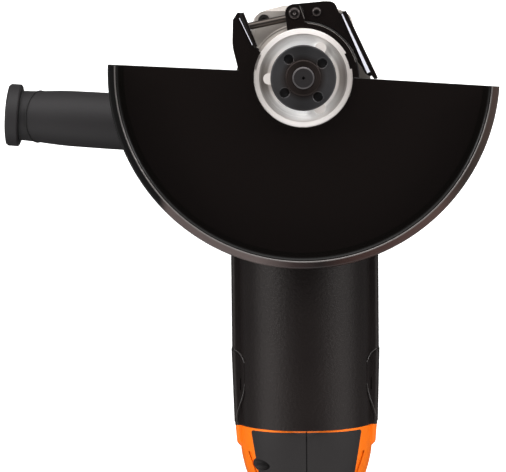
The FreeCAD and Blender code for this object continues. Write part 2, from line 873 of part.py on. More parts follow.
def crown_gear():
    """Large bevel gear on the spindle, with holes in its web for the spindle lock."""
    mine = gear_outer_pitch_radius
    mate = pinion_outer_pitch_radius
    inner = 1 - tooth_face_width / outer_cone_distance
    back = mate + gear_body_thickness
    outline = [
        back_cone(mine, mate, 1, 2.5),
        back_cone(mine, mate, 1, -5.0),
        (mine - 3.0, back),
        (gear_hub_radius, back),
        (gear_hub_radius, back + gear_hub_height),
        (spindle_shaft_radius, back + gear_hub_height),
        (spindle_shaft_radius, mate + gear_web_setback),
        (gear_web_radius - 1.0, mate + gear_web_setback),
        back_cone(mine, mate, inner, -2.6),
        back_cone(mine, mate, inner, 2.5),
    ]
    cone_angle = math.atan(gear_teeth / pinion_teeth)
    teeth = tooth_pyramid(gear_teeth, cone_angle, -tooth_shift, 0.5, 1.25 + tooth_shift, 30.0)
    teeth.rotate(point(0, 0), Z_AXIS, -90)
    body = turned_z(outline).common(teeth)
    for step in range(lock_hole_count):
        spot = polar(lock_circle_radius, 90 + 360 * step / lock_hole_count)
        body = body.cut(rod_z(lock_pin_radius + lock_hole_clearance, 0, back + 1, spot.x, spot.y))
    body.translate(point(0, 0, motor_axis_z))
    return body


def pinion():
    """Small bevel gear on the end of the motor shaft, drawn along +Z and then laid down."""
    mine = pinion_outer_pitch_radius
    mate = gear_outer_pitch_radius
    inner = 1 - tooth_face_width / outer_cone_distance
    bore = shaft_end_radius
    outline = [
        back_cone(mine, mate, inner, 3.0),
        back_cone(mine, mate, 1, 3.0),
        back_cone(mine, mate, 1, -1.2),
        (mine - 0.6, -front_bearing_y - 3.0),
        (mine - 0.6, -front_bearing_y),
        (bore, -front_bearing_y),
        (bore, mate * inner + 0.4),
        back_cone(mine, mate, inner, -2.2),
    ]
    cone_angle = math.atan(pinion_teeth / gear_teeth)
    teeth = tooth_pyramid(pinion_teeth, cone_angle, tooth_shift, 1.25, 1.25 - tooth_shift, 60.0)
    half_step = 180 / pinion_teeth
    teeth.rotate(point(0, 0), Z_AXIS, 90 + half_step)
    blank = turned_z(outline)
    body = blank.common(teeth)
    body.rotate(point(0, 0), X_AXIS, 90)
    body.translate(point(0, 0, motor_axis_z))
    return body


def pinion_nut():
    """Thin hexagon nut that holds the pinion on the motor shaft."""
    rear = pinion_nut_y()
    nut = plate_y(hexagon(pinion_nut_flats, 0, motor_axis_z), rear, rear + pinion_nut_height)
    return nut.cut(rod_y(shaft_end_radius, rear, rear + pinion_nut_height))


def pinion_nut_y():
    inner = 1 - tooth_face_width / outer_cone_distance
    return pinion_nut_gap - gear_outer_pitch_radius * inner


# ---- spindle lock ---------------------------------------------------------------------


def spindle_lock_button():
    low = lock_button_sink
    cap = rod_z(lock_button_radius, low, low + lock_button_thickness, 0, lock_circle_radius)
    rim = [edge for edge in cap.Edges if abs(edge.CenterOfMass.z - low) < 0.01]
    return cap.makeFillet(1.2, rim)


def spindle_lock_pin():
    """Steel pin from the button to just short of the gear's web."""
    low = lock_button_sink + lock_button_thickness
    high = gear_web_z - lock_pin_short_of_web
    pin = rod_z(lock_pin_radius, low, high, 0, lock_circle_radius)
    return pin.makeChamfer(0.6, [edge for edge in pin.Edges
                                 if abs(edge.CenterOfMass.z - high) < 0.01])


def coil_z(mean_radius, wire_radius, low, high, turns, x, y):
    """Compression spring of round wire with its axis along +Z."""
    rise = high - low - 2 * wire_radius
    helix = Part.makeHelix(rise / turns, rise, mean_radius)
    section = Part.Wire(Part.makeCircle(wire_radius, point(mean_radius, 0), Y_AXIS))
    spring = Part.Wire(helix.Edges).makePipeShell([section], True, True)
    spring.translate(point(x, y, low + wire_radius))
    return spring


def spindle_lock_spring():
    low = lock_button_sink + lock_button_thickness
    return coil_z(lock_spring_radius, lock_spring_wire, low, lock_recess_depth,
                  lock_spring_turns,
                  0, lock_circle_radius)


# ---- motor ------------------------------------------------------------------------------


def housing_block(low_y, high_y, grow):
    """Barrel with a flat rail along each side, grown or shrunk evenly."""
    def rail_edge(y):
        behind = max(0.0, cover_front_y - y)
        return rail_half_width - housing_end_narrowing * behind / (cover_front_y - housing_rear_y)
    barrel = rod_y(barrel_radius + grow, low_y, high_y)
    spots = [high_y, low_y]
    if low_y < cover_front_y < high_y:
        spots.insert(1, cover_front_y)
    side = [(rail_edge(y) + grow, y, 0) for y in spots]
    outline = side + [(-x, y, radius) for x, y, radius in reversed(side)]
    half = rail_half_height + grow
    rails = plate_z(outline, motor_axis_z - half, motor_axis_z + half)
    long_edges = [edge for edge in rails.Edges
                  if abs(edge.CenterOfMass.x) > rail_half_width * 0.9
                  and abs(abs(edge.CenterOfMass.z - motor_axis_z) - half) < 0.01]
    rails = rails.makeFillet(rail_edge_radius, long_edges)
    return fused([barrel, rails])


def motor_housing():
    """Moulded barrel: bolting flange, side rails, hollow bore, rear wall with bearing seat."""
    body = housing_block(housing_rear_y, housing_front_y, 0)
    flange = plate_y(rectangle(rail_half_width, barrel_radius, housing_corner_radius, 0,
                               motor_axis_z),
                     housing_front_y - housing_flange_length, housing_front_y)
    body = fused([body, flange])
    bore = rod_y(bore_radius, rear_wall_y, housing_front_y)
    wall_back_y = rear_wall_y - rear_wall_thickness
    end_recess = rod_y(bore_radius, housing_rear_y, wall_back_y)
    body = without(body, bore, end_recess)
    hub = rod_y(rear_bearing_radius + rear_boot_thickness + 3.0, rear_wall_y, rear_bearing_y)
    seat = rod_y(rear_bearing_radius + rear_boot_thickness, rear_wall_y, rear_bearing_y)
    body = body.fuse(hub).cut(seat)
    body = body.cut(rod_y(shaft_radius + 2.0, wall_back_y, rear_wall_y))
    for step in range(6):
        spot = polar(bore_radius - 11.8, 60 * step + 30)
        window = plate_y([(x, z, 3) for x, z, _ in rectangle(6.5, 6.5, 3, spot.x,
                                                              spot.y + motor_axis_z)],
                         wall_back_y, rear_wall_y)
        body = body.cut(window)
    for side in (-1, 1):
        pocket = brush_pocket(side)
        body = body.cut(pocket)
    for x, z in case_screw_places():
        low = housing_front_y + case_flange_thickness - 2.0 - case_screw_length
        body = body.cut(rod_y(case_screw_radius, low, housing_front_y, x, z))
    for side in (-1, 1):
        body = body.cut(side_cover_bed(side))
        body = body.cut(cover_slots(side, bore_radius - 1, rail_half_width + 2))
    return body.removeSplitter()


def brush_pocket(side):
    """Opening in the wall that takes a brush holder."""
    near, far = sorted((side * (bore_radius - 12.8), side * (brush_reach + 0.3)))
    half_y = brush_width / 2 + brush_holder_wall
    half_z = brush_height / 2 + brush_holder_wall
    return block(near, far, brush_y - half_y, brush_y + half_y,
                 motor_axis_z - half_z, motor_axis_z + half_z)


def cover_column(side, margin):
    """Prism that bounds a cover: slanted front and a tail that runs out to the rail."""
    half = cover_half_height - margin
    front = cover_front_y - margin
    rear = cover_rear_y + margin
    upper = cover_upper_x + margin
    outline = [
        (60.0, front, 0),
        (rail_half_width, front, 0),
        (upper, front - cover_front_slant, 2),
        (upper, front - cover_front_slant - cover_straight, 12),
        (cover_waist_x + margin, rear + cover_waist_from_rear, 20),
        (cover_tail_x + margin, rear + cover_tail_rise, 4),
        (cover_tail_x + margin, rear, 0),
        (60.0, rear, 0),
    ]
    return plate_z([(side * x, y, radius) for x, y, radius in outline],
                   motor_axis_z - half, motor_axis_z + half)


def side_cover_bed(side):
    """Shallow bed in the housing wall for a side cover."""
    core = housing_block(cover_rear_y - 5, cover_front_y + 5, -cover_thickness)
    return cover_column(side, 0).cut(core)


def cover_slots(side, low_x, high_x):
    """Row of air slots through a side cover."""
    near, far = sorted((side * low_x, side * high_x))
    first = cover_rear_y + 9.0
    slots = []
    for step in range(cover_slot_count):
        y = first + step * cover_slot_pitch
        if abs(y - (brush_y)) > brush_width:
            slots.append(block(near, far, y - cover_slot_width / 2, y + cover_slot_width / 2,
                               motor_axis_z - 9.0, motor_axis_z + 9.0))
    return group(slots)


def cover_catch(side):
    """Narrow blind slot near the cover's upper edge, for prising it off."""
    x = side * (cover_upper_x + cover_catch_inset)
    front = cover_front_y - cover_front_slant - cover_straight
    surface = motor_axis_z + rail_half_height + cover_proud
    return block(x - cover_catch_width / 2, x + cover_catch_width / 2, front - cover_catch_length,
                 front, surface - cover_catch_depth, motor_axis_z + cover_half_height)


def side_cover(side):
    """Curved cover over a brush, following the rail and barrel, with air slots."""
    column = cover_column(side, 0.15)
    skin = housing_block(cover_rear_y - 5, cover_front_y + 5, cover_proud)
    core = housing_block(cover_rear_y - 5, cover_front_y + 5, -cover_thickness)
    cover = skin.cut(core).common(column)
    cover = cover.cut(cover_catch(side))
    return cover.cut(cover_slots(side, 20.0, 60.0)).removeSplitter()


def bearing_plate():
    """Plate between motor and gear case that closes in the front bearing."""
    outer = bore_radius - 0.1
    return ring_y(outer, shaft_radius + 1.0, housing_front_y - bearing_plate_thickness,
                  housing_front_y)


def armature_shaft():
    """Stepped shaft from the rear bearing to the pinion."""
    rear = rear_wall_y
    tip = pinion_nut_y() + pinion_nut_height + 0.5
    outline = [
        (0, rear - 1.0), (shaft_journal_radius, rear - 1.0),
        (shaft_journal_radius, rear_bearing_y + 1.0), (shaft_radius, rear_bearing_y + 1.0),
        (shaft_radius, front_bearing_y), (shaft_end_radius, front_bearing_y),
        (shaft_end_radius, tip), (0, tip),
    ]
    return turned_y(outline)


def armature_core():
    """Slotted lamination stack."""
    low = core_rear_y
    body = ring_y(armature_radius, shaft_radius, low, core_front_y)
    for step in range(slot_count):
        slot = block(armature_radius - slot_depth, armature_radius + 1, low, core_front_y,
                     -slot_width / 2, slot_width / 2)
        slot.rotate(point(0, 0), Y_AXIS, 360 * step / slot_count)
        slot.translate(point(0, 0, motor_axis_z))
        body = body.cut(slot)
    return body


def armature_windings():
    """Winding heads at both ends, joined through the slots."""
    low = core_rear_y
    outer = armature_radius - 2.0
    rear = turned_y([(shaft_radius, low), (shaft_radius, low - 9), (outer - 5, low - 9),
                     (outer, low - 5), (outer, low)])
    front = turned_y([(shaft_radius, core_front_y), (outer, core_front_y),
                      (outer, core_front_y + 6), (outer - 5, core_front_y + 10),
                      (shaft_radius, core_front_y + 10)])
    bars = []
    for step in range(slot_count):
        bar = block(armature_radius - slot_depth, armature_radius - 1.5, low, core_front_y,
                    -slot_width / 2, slot_width / 2)
        bar.rotate(point(0, 0), Y_AXIS, 360 * step / slot_count)
        bar.translate(point(0, 0, motor_axis_z))
        bars.append(bar)
    return fused([rear, front] + bars)


def commutator():
    """Copper segments round the shaft, parted by fine grooves."""
    low = commutator_y - commutator_length
    body = ring_y(commutator_radius, shaft_radius, low, commutator_y)
    riser = ring_y(commutator_radius + 2.0, shaft_radius, commutator_y - 3.0, commutator_y)
    body = body.fuse(riser)
    for step in range(commutator_bars):
        groove = block(commutator_radius - 0.8, commutator_radius + 3, low, commutator_y,
                       -0.3, 0.3)
        groove.rotate(point(0, 0), Y_AXIS, 360 * step / commutator_bars)
        groove.translate(point(0, 0, motor_axis_z))
        body = body.cut(groove)
    return body.removeSplitter()


def fan():
    """Radial fan: backplate, hub and straight blades on the shaft."""
    front = fan_y
    rear = fan_y - fan_width
    hub = ring_y(shaft_radius + 5.0, shaft_radius, rear, front)
    disc = ring_y(fan_radius, shaft_radius, front - 2.0, front)
    blades = []
    for step in range(fan_blades):
        blade = block(shaft_radius + 3.0, fan_radius, rear, front, -0.9, 0.9)
        blade.rotate(point(0, 0), Y_AXIS, 360 * step / fan_blades)
        blade.translate(point(0, 0, motor_axis_z))
        blades.append(blade)
    return fused([hub, disc] + blades)


def air_baffle():
    """Fixed ring behind the fan that guides the air into it."""
    bore = bore_radius
    rear = fan_y - fan_width - 1.5 - baffle_thickness
    rim = ring_y(bore, bore - baffle_thickness, rear, fan_y)
    lip = ring_y(bore, armature_radius, rear, rear + baffle_thickness)
    return fused([rim, lip])


def stator_core():
    """Lamination ring with two pole horns and flats for the coils."""
    low = core_rear_y
    body = ring_y(stator_radius, armature_radius + air_gap, low, core_front_y)
    for side in (-1, 1):
        near, far = sorted((side * 20.0, side * 36.0))
        body = body.cut(block(near, far, low, core_front_y,
                              motor_axis_z - 17.0, motor_axis_z + 17.0)
                        .cut(rod_y(armature_radius + air_gap, low, core_front_y)))
    bore = bore_radius
    for angle in (45, 135, 225, 315):
        rib = block(stator_radius - 1.5, bore, low, core_front_y, -3, 3)
        rib = rib.common(rod_y(bore, low, core_front_y, 0, 0))
        rib.rotate(point(0, 0), Y_AXIS, angle)
        rib.translate(point(0, 0, motor_axis_z))
        body = body.fuse(rib)
    return body.removeSplitter()


def field_coils():
    """Two coils that fill the stator's side pockets and loop round its ends."""
    low = core_rear_y
    coils = []
    for side in (-1, 1):
        near, far = sorted((side * 20.0, side * 36.0))
        coil = block(near, far, low - 8, core_front_y + 8, motor_axis_z - 17, motor_axis_z + 17)
        coil = coil.cut(rod_y(armature_radius + air_gap, low - 8, core_front_y + 8))
        coils.append(max(coil.Solids, key=lambda piece: piece.Volume))
    return group(coils)


def brush_solids(make):
    """The same piece for both brushes, drawn for the right side and mirrored."""
    right = make()
    return group([right, mirrored_x(right)])


def brush_holder():
    half_y = brush_width / 2 + brush_holder_wall
    half_z = brush_height / 2 + brush_holder_wall
    start = brush_holder_start
    tube = block(start, brush_reach, brush_y - half_y, brush_y + half_y,
                 motor_axis_z - half_z, motor_axis_z + half_z)
    return tube.cut(block(start, brush_reach, brush_y - brush_width / 2,
                          brush_y + brush_width / 2, motor_axis_z - brush_height / 2,
                          motor_axis_z + brush_height / 2))


def carbon_brush():
    """Carbon block in its holder, hollowed to the commutator's curve."""
    half_y = brush_width / 2 - 0.1
    half_z = brush_height / 2 - 0.1
    bar = block(commutator_radius - 3, commutator_radius + brush_length, brush_y - half_y,
                brush_y + half_y, motor_axis_z - half_z, motor_axis_z + half_z)
    return bar.cut(rod_y(commutator_radius + brush_gap, brush_y - 10, brush_y + 10))


def brush_spring():
    """Coil spring that presses a brush inwards."""
    start = commutator_radius + brush_length
    spring = coil_z(2.6, 0.35, 0, brush_reach - start, 4, 0, 0)
    spring.rotate(point(0, 0), Y_AXIS, 90)
    spring.translate(point(start, brush_y, motor_axis_z))
    return spring


def rear_bearing_boot():
    """Rubber sleeve round the rear bearing."""
    return ring_y(rear_bearing_radius + rear_boot_thickness, rear_bearing_radius, rear_wall_y,
                  rear_bearing_y)


# ---- guard and clamp --------------------------------------------------------------------


def guard_shell():
    """Half-round sheet guard: plate, rolled rim, inward lip, collar hole and clamp wing."""
    sheet = guard_sheet
    bend = guard_bend_radius
    inner_bend = bend - sheet
    low = guard_plate_z
    top = guard_front_z
    rim = guard_radius
    lip_edge = rim - guard_lip_width
    outline = [
        (0, low), (rim - bend, low), (rim - 0.29 * bend, low + 0.29 * bend), (rim, low + bend),
        (rim, top - 2.4), (rim - 0.8, top - 0.9), (rim - 2.2, top),
        (lip_edge + 1.0, top), (lip_edge + 0.3, top - 0.3), (lip_edge, top - 1.0),
        (lip_edge, top - sheet - 0.4), (rim - sheet, top - sheet - 0.4),
        (rim - sheet, low + bend), (rim - sheet - 0.29 * inner_bend, low + sheet + 0.29 * inner_bend),
        (rim - bend, low + sheet), (0, low + sheet),
    ]
    bowl = turned_z(outline, 0, guard_centre_offset)
    bowl = bowl.cut(guard_opening(low - 1, top + 1))
    ear_base = polar(band_outer_radius, band_gap_end)
    wing = plate_z([
        (-guard_wing_reach + 6.0, guard_cut_y - 1.0, 0),
        (-guard_wing_reach + 0.6, guard_wing_middle_y - 6.0, 24),
        (-guard_wing_reach, guard_wing_corner_y, 1.8),
        (ear_tip_x() - 3.0, ear_tip_y(), 0.8),
        (ear_tip_x(), ear_tip_y(), 0.4),
        (ear_base.x, ear_base.y, 0),
        (-20.0, 5.0, 0),
        (-20.0, guard_cut_y - 1.0, 0),
    ], low, low + sheet)
    ear = ear_plate()
    body = fused([bowl, wing, ear])
    collar = rod_z(lip_radius + guard_collar_gap, low - 1, low + sheet + 1)
    cams = []
    for side in (0, 180):
        middle = 180 + guard_cam_angle if side == 0 else 360 - guard_cam_angle
        wedge = plate_z([(0, 0, 0)] + [(*polar(60, middle + turn)[:2], 0)
                                       for turn in (-guard_cam_half_angle, guard_cam_half_angle)],
                        low, low + sheet)
        cam_ring = ring_z(lip_radius + guard_collar_gap, groove_radius + guard_cam_gap, low,
                          low + sheet)
        cams.append(cam_ring.common(wedge))
    body = body.cut(collar)
    body = fused([body] + cams)
    return turned_guard(body)


def guard_opening(low, high):
    """Everything beyond the guard's straight edge, which rises a little to the collar."""
    far = guard_radius + 20
    return plate_z([
        (-far, guard_cut_y, 0), (-lip_radius, guard_cut_y + guard_cut_rise_left, 0),
        (lip_radius, guard_cut_y + guard_cut_rise_right, 0), (far, guard_cut_y, 0),
        (far, far, 0), (-far, far, 0),
    ], low, high)


def ear_direction():
    """Unit vector up the ear, from the band end to its free tip."""
    base = polar(band_outer_radius, band_gap_end)
    tip = point(ear_hole_x, ear_hole_y)
    return (tip - base).normalize()


def ear_tip_x():
    return ear_hole_x + ear_direction().x * ear_above_hole


def ear_tip_y():
    return ear_hole_y + ear_direction().y * ear_above_hole


def ear_frame(shape):
    """Set a shape drawn about the rod hole, with the ear's face square to +X, in place."""
    up = ear_direction()
    placed = shape.copy()
    placed.rotate(point(0, 0), Z_AXIS, math.degrees(math.atan2(up.y, up.x)) - 90)
    placed.translate(point(ear_hole_x, ear_hole_y, rod_z_level))
    return placed


def ear_plate():
    """Tab bent down from the wing, slotted for the tension rod."""
    below = (point(ear_hole_x, ear_hole_y) - polar(band_outer_radius, band_gap_end)).Length
    low = band_low_z - rod_z_level
    high = guard_plate_z + guard_sheet - rod_z_level
    half = guard_sheet / 2
    tab = block(-half, half, -below, ear_above_hole, low, high + ear_stand)
    bevel = plate_y([(-half - ear_bevel, high, 0), (-half, high, 0), (-half, high + ear_stand, 0)],
                    2.0 - below, ear_above_hole - 1.0)
    slot = plate_x(rectangle(ear_slot_half, rod_radius + 0.4, 2.0), -guard_sheet, guard_sheet)
    return ear_frame(fused([tab, bevel]).cut(slot))


def clamp_band():
    """Split band round the neck with a pair of lugs that carry the lever."""
    inner = neck_radius + band_gap
    band = ring_z(band_outer_radius, inner, band_low_z, band_top_z)
    gap = plate_z([(0, 0, 0), (*polar(80, band_gap_start)[:2], 0),
                   (*polar(80, (band_gap_start + band_gap_end) / 2)[:2], 0),
                   (*polar(80, band_gap_end)[:2], 0)], band_low_z - 10, band_top_z + 10)
    reach = lip_radius + guard_collar_gap
    turn = math.degrees(math.atan2(pivot_y, pivot_x))
    lug = plate_z([(reach - 1.0, -lug_radius, 0), (reach - 1.0, lug_radius, 0),
                   (math.hypot(pivot_x, pivot_y) + lug_radius, lug_radius, lug_radius - 0.01),
                   (math.hypot(pivot_x, pivot_y) + lug_radius, -lug_radius, lug_radius - 0.01)],
                  guard_plate_z, guard_plate_z + guard_sheet)
    lug.rotate(point(0, 0), Z_AXIS, turn)
    front = lug.cut(rod_z(reach, guard_plate_z, guard_plate_z + guard_sheet))
    rear = lug.cut(rod_z(inner, guard_plate_z, guard_plate_z + guard_sheet))
    rear.translate(point(0, 0, rear_lug_z - guard_plate_z))
    bridge = ring_z(band_outer_radius, inner, rear_lug_z, band_low_z)
    sector = plate_z([(0, 0, 0), (*polar(80, turn - 8)[:2], 0), (*polar(80, turn + 8)[:2], 0)],
                     rear_lug_z, band_low_z)
    body = fused([band.cut(gap), front, rear, bridge.common(sector), collar_lip()])
    body = body.cut(rod_z(rivet_radius, rear_lug_z, guard_plate_z + guard_sheet, pivot_x, pivot_y))
    return turned_guard(body)


def collar_lip():
    """Flange on the band that runs in the neck's groove, from the lug to the guard plate."""
    inner = groove_radius + guard_cam_gap
    top = guard_plate_z + guard_sheet
    ring = turned_z([(inner, guard_plate_z), (band_outer_radius, guard_plate_z),
                     (band_outer_radius, top - 0.5), (band_outer_radius - 0.5, top),
                     (inner, top)])
    sector = plate_z([(0, 0, 0), (80, 0, 0), (80, 80, 0), (*polar(80, band_gap_start)[:2], 0)],
                     guard_plate_z, top)
    plate = block(-80, 80, -80, guard_cut_y + guard_cut_rise_right, guard_plate_z, top)
    return ring.common(sector).cut(plate)


def lever_rivets():
    """Two short rivets on one axis, one through each lug."""
    front = turned_z([
        (0, lever_top_z - lever_sheet - 0.6), (rivet_head_radius - 1, lever_top_z - lever_sheet - 0.6),
        (rivet_head_radius - 1, lever_top_z - lever_sheet - 0.1),
        (rivet_radius, lever_top_z - lever_sheet - 0.1),
        (rivet_radius, guard_plate_z + guard_sheet),
        (rivet_head_radius, guard_plate_z + guard_sheet),
        (rivet_head_radius - 0.8, guard_plate_z + guard_sheet + rivet_head_height),
        (0, guard_plate_z + guard_sheet + rivet_head_height),
    ], pivot_x, pivot_y)
    rear = rod_z(rivet_radius, rear_lug_z, lever_low_z + lever_sheet + 0.1, pivot_x, pivot_y)
    rear = rear.fuse(rod_z(rivet_head_radius - 1, lever_low_z + lever_sheet + 0.1,
                           lever_low_z + lever_sheet + 0.5, pivot_x, pivot_y))
    return turned_guard(group([front, rear.removeSplitter()]))


def web_spot(along, inward):
    """Point beside the lever's web: down its outer line from the top, then inward from it."""
    top = point(lever_web_top_x, lever_web_top_y)
    down = (point(lever_tip_x, lever_tip_y) - top).normalize()
    spot = top + down * along + point(down.y, -down.x) * inward
    return spot.x, spot.y


def web_length():
    return math.hypot(lever_tip_x - lever_web_top_x, lever_tip_y - lever_web_top_y)


def lever_cheek(low, high):
    """One of the lever's two curved side plates, running out in a strip beside the web."""
    end = lever_end_radius
    heel = point(pivot_x, pivot_y)
    length = web_length()
    start = lever_web_sheet + lever_bevel_start
    finish = lever_web_sheet + lever_bevel_end
    corners = [
        (heel.x - end, heel.y - end, end - 0.01),
        (heel.x - end - 0.6, heel.y + end, end - 0.01),
        (lever_crest_x - 7.0, lever_crest_y - 0.2, 14),
        (lever_crest_x, lever_crest_y, 5),
        (*web_spot(-0.6, start + 1.0), 1.0),
        (*web_spot(0.6, start), 0),
        (*web_spot(0.6, lever_web_sheet - 0.5), 0),
        (*web_spot(length - 3.6, lever_web_sheet - 0.5), 0),
        (*web_spot(length - 3.6, finish - 0.8), 1.0),
        (*web_spot(length - 6.4, finish + lever_strip_width - 0.2), 2.0),
        (*web_spot(length - 11.0, finish + lever_strip_width), 3.0),
        (*web_spot(length - 18.0, finish + lever_strip_width + 1.6), 3.0),
        (0.0, lever_inner_radius - 6, 0),
        (heel.x, heel.y - end, 0),
    ]
    cheek = plate_z(corners, low, high)
    return cheek.cut(rod_z(lever_inner_radius, low, high))


def web_bevel():
    """Sloping inner side of the web, from the front cheek up to the web's edge."""
    sections = []
    for along, width in ((0.6, lever_bevel_start), (web_length() - 6.0, lever_bevel_end)):
        foot = point(*web_spot(along, lever_web_sheet + width), lever_top_z)
        root = point(*web_spot(along, lever_web_sheet - 0.5), lever_top_z)
        crest = root + Z_AXIS * lever_bevel_rise
        edge = point(*web_spot(along, lever_web_sheet), lever_top_z) + Z_AXIS * lever_bevel_rise
        sections.append(Part.makePolygon([foot, root, crest, edge, foot]))
    return Part.makeLoft(sections, True, True)


def clamp_lever():
    """Folded-sheet lever: two cheeks joined by an outer web that ends in a finger tab."""
    top = lever_cheek(lever_top_z - lever_sheet, lever_top_z)
    bottom = lever_cheek(lever_low_z, lever_low_z + lever_sheet)
    length = web_length()
    sheet = lever_web_sheet
    web = plate_z([
        (*web_spot(0, 0), 0.6),
        (*web_spot(length, 0), 0.8),
        (*web_spot(length - 0.8, sheet - 0.6), 0.8),
        (*web_spot(length - 4.0, sheet), 2.0),
        (*web_spot(0, sheet), 0.6),
    ], lever_low_z, lever_top_z + lever_bevel_rise)
    body = fused([top, bottom, web, web_bevel()])
    body = body.cut(rod_z(rivet_radius + 0.05, lever_low_z, lever_top_z, pivot_x, pivot_y))
    body = body.cut(rod_z(barrel_pin_radius + 0.05, lever_low_z, lever_top_z, link_x, link_y))
    return turned_guard(body)


def rod_frame(shape):
    """Set a shape drawn along +X from the barrel onto the line to the ear."""
    heading = math.degrees(math.atan2(ear_hole_y - link_y, ear_hole_x - link_x))
    placed = shape.copy()
    placed.rotate(point(0, 0), Z_AXIS, heading)
    placed.translate(point(link_x, link_y, rod_z_level))
    return turned_guard(placed)


def rod_length():
    return math.hypot(ear_hole_x - link_x, ear_hole_y - link_y)


def tension_rod():
    """Threaded rod from the barrel through the ear."""
    return rod_frame(rod_x(rod_radius, -3.0, rod_length() + rod_overhang))


def rod_barrel():
    """Cross barrel between the lever cheeks, with a pin at each end and the rod through it."""
    half = (lever_depth / 2) - lever_sheet - 0.1
    barrel = rod_z(barrel_radius_mid, -half, half)
    pins = rod_z(barrel_pin_radius, -lever_depth / 2, lever_depth / 2 + 0.6)
    slot = block(-barrel_pin_radius, barrel_pin_radius, -0.5, 0.5, lever_depth / 2,
                 lever_depth / 2 + 1)
    body = fused([barrel, pins]).cut(rod_x(rod_radius, -10, 10)).cut(slot)
    return rod_frame(body)


def adjusting_nut():
    """Hexagon nut with a round washer face against the ear."""
    start = rod_length() + guard_sheet / 2 + 0.8
    washer = rod_x(adjusting_nut_flats / 2 + 0.4, start, start + 1.0)
    nut = plate_x(hexagon(adjusting_nut_flats, 0, 0), start + 1.0, start + adjusting_nut_length)
    bore = rod_x(rod_radius, start - 1, start + adjusting_nut_length + 1)
    return rod_frame(fused([washer, nut]).cut(bore))


# ---- side handle ---------------------------------------------------------------------------


def side_handle_frame(shape):
    """Set a shape drawn along +X from the socket mouth onto the side handle's axis."""
    placed = shape.copy()
    placed.rotate(point(0, 0), Z_AXIS, 180 - side_handle_sweep)
    placed.translate(point(-rail_half_width, socket_y, motor_axis_z))
    return placed


def turned_x(outline):
    corners = [point(x, radius) for x, radius in outline]
    face = Part.Face(Part.makePolygon(corners + corners[:1]))
    return face.revolve(point(0, 0), X_AXIS, 360)


def side_handle_grip():
    """Turned grip: inner flange, barrel-shaped grip, waist and end flange."""
    length = side_handle_length
    inner_end = handle_inner_length
    grip_start = inner_end + handle_inner_flange_width
    end_start = length - handle_end_width
    middle = (grip_start + end_start) / 2
    spine = [
        (grip_start, handle_neck_radius), (grip_start + 14, handle_grip_radius - 1.2),
        (middle - 12, handle_grip_radius), (middle + 12, handle_grip_radius - 0.1),
        (end_start - 26, handle_grip_radius - 0.6), (end_start - 10, handle_neck_radius + 0.4),
        (end_start, handle_neck_radius),
    ]
    curve = Part.BSplineCurve()
    curve.interpolate([point(x, radius) for x, radius in spine])
    flange = handle_inner_flange_radius
    corners_in = [(grip_start, flange - 1.5), (grip_start - 1.5, flange), (inner_end + 1.0, flange),
                  (inner_end, flange - 1.5), (inner_end, handle_inner_radius),
                  (0, handle_inner_radius - 2.0), (0, handle_stud_radius)]
    corners_out = [(end_start, handle_end_radius - 0.8), (end_start + 0.8, handle_end_radius),
                   (length - 2.0, handle_end_radius), (length - 0.6, handle_end_radius - 1.0),
                   (length, handle_end_radius - 4.0)]
    spots_out = [point(*spine[-1])] + [point(x, radius) for x, radius in corners_out]
    closing = [point(length, 0), point(handle_stud_bury, 0),
               point(handle_stud_bury, handle_stud_radius)]
    spots_in = [point(x, radius) for x, radius in reversed(corners_in)]
    run = spots_out + closing + spots_in + [point(*spine[0])]
    edges = [curve.toShape()]
    edges += [Part.makeLine(first, second) for first, second in zip(run, run[1:])]
    grip = Part.Face(Part.Wire(edges)).revolve(point(0, 0), X_AXIS, 360)
    return side_handle_frame(grip)


def side_handle_stud():
    """Threaded stud moulded into the grip and screwed into the gear case."""
    stud = rod_x(handle_stud_radius, -socket_depth + 3.0, handle_stud_bury)
    return side_handle_frame(stud)


# ---- rear handle ------------------------------------------------------------------------------


def handle_sections():
    """(y, half width, half height, corner radius) of the rear handle, front to back."""
    start = housing_rear_y
    return [
        (start, collar_half_x - collar_step - 1.2, collar_half_z - 1.0, 36.0),
        (start - 16.0, collar_half_x - collar_step - 1.0, collar_half_z - 2.6, 33.0),
        (start - 34.0, collar_half_x - 8.0, collar_half_z - 6.0, 28.0),
        (start - 60.0, grip_half_x + 5.5, grip_half_z + 5.0, 21.0),
        (start - 90.0, grip_half_x + 0.8, grip_half_z + 1.2, 17.0),
        (start - 130.0, grip_half_x - 0.8, grip_half_z - 0.5, 16.5),
        (start - 168.0, grip_half_x + 0.2, grip_half_z + 0.8, 17.0),
        (handle_tail_y + 14.0, tail_half_x, tail_half_z, 18.0),
        (handle_tail_y, tail_half_x - 1.5, tail_half_z - 1.5, 18.0),
    ]


def handle_body(shrink):
    """Smooth handle form, shrunk evenly, with a flat rear end."""
    wires = []
    for y, half_x, half_z, radius in handle_sections():
        outline = rectangle(half_x - shrink, half_z - shrink, radius - shrink, 0, motor_axis_z)
        wires.append(rounded_wire(outline, across(y)))
    return Part.makeLoft(wires, True, False)


def collar_block(shrink):
    """Round collar with side ears that carries on the housing's rails."""
    rear = housing_rear_y - collar_length
    core = turned_y([(0, rear), (collar_half_z - shrink - collar_taper, rear),
                     (collar_half_z - shrink, housing_rear_y), (0, housing_rear_y)])
    half = rail_half_height - shrink
    wide = collar_half_x - shrink
    side = [(wide, housing_rear_y, 0),
            (wide - collar_ear_narrowing, rear, rail_edge_radius),
            (wide - collar_ear_narrowing - collar_ear_drop, rear - collar_ear_drop, 0)]
    outline = side + [(-x, y, radius) for x, y, radius in reversed(side)]
    ears = plate_z(outline, motor_axis_z - half, motor_axis_z + half)
    long_edges = [edge for edge in ears.Edges
                  if abs(edge.CenterOfMass.x) > wide - collar_ear_narrowing
                  and abs(abs(edge.CenterOfMass.z - motor_axis_z) - half) < 0.01]
    ears = ears.makeFillet(rail_edge_radius, long_edges)
    return fused([core, ears])


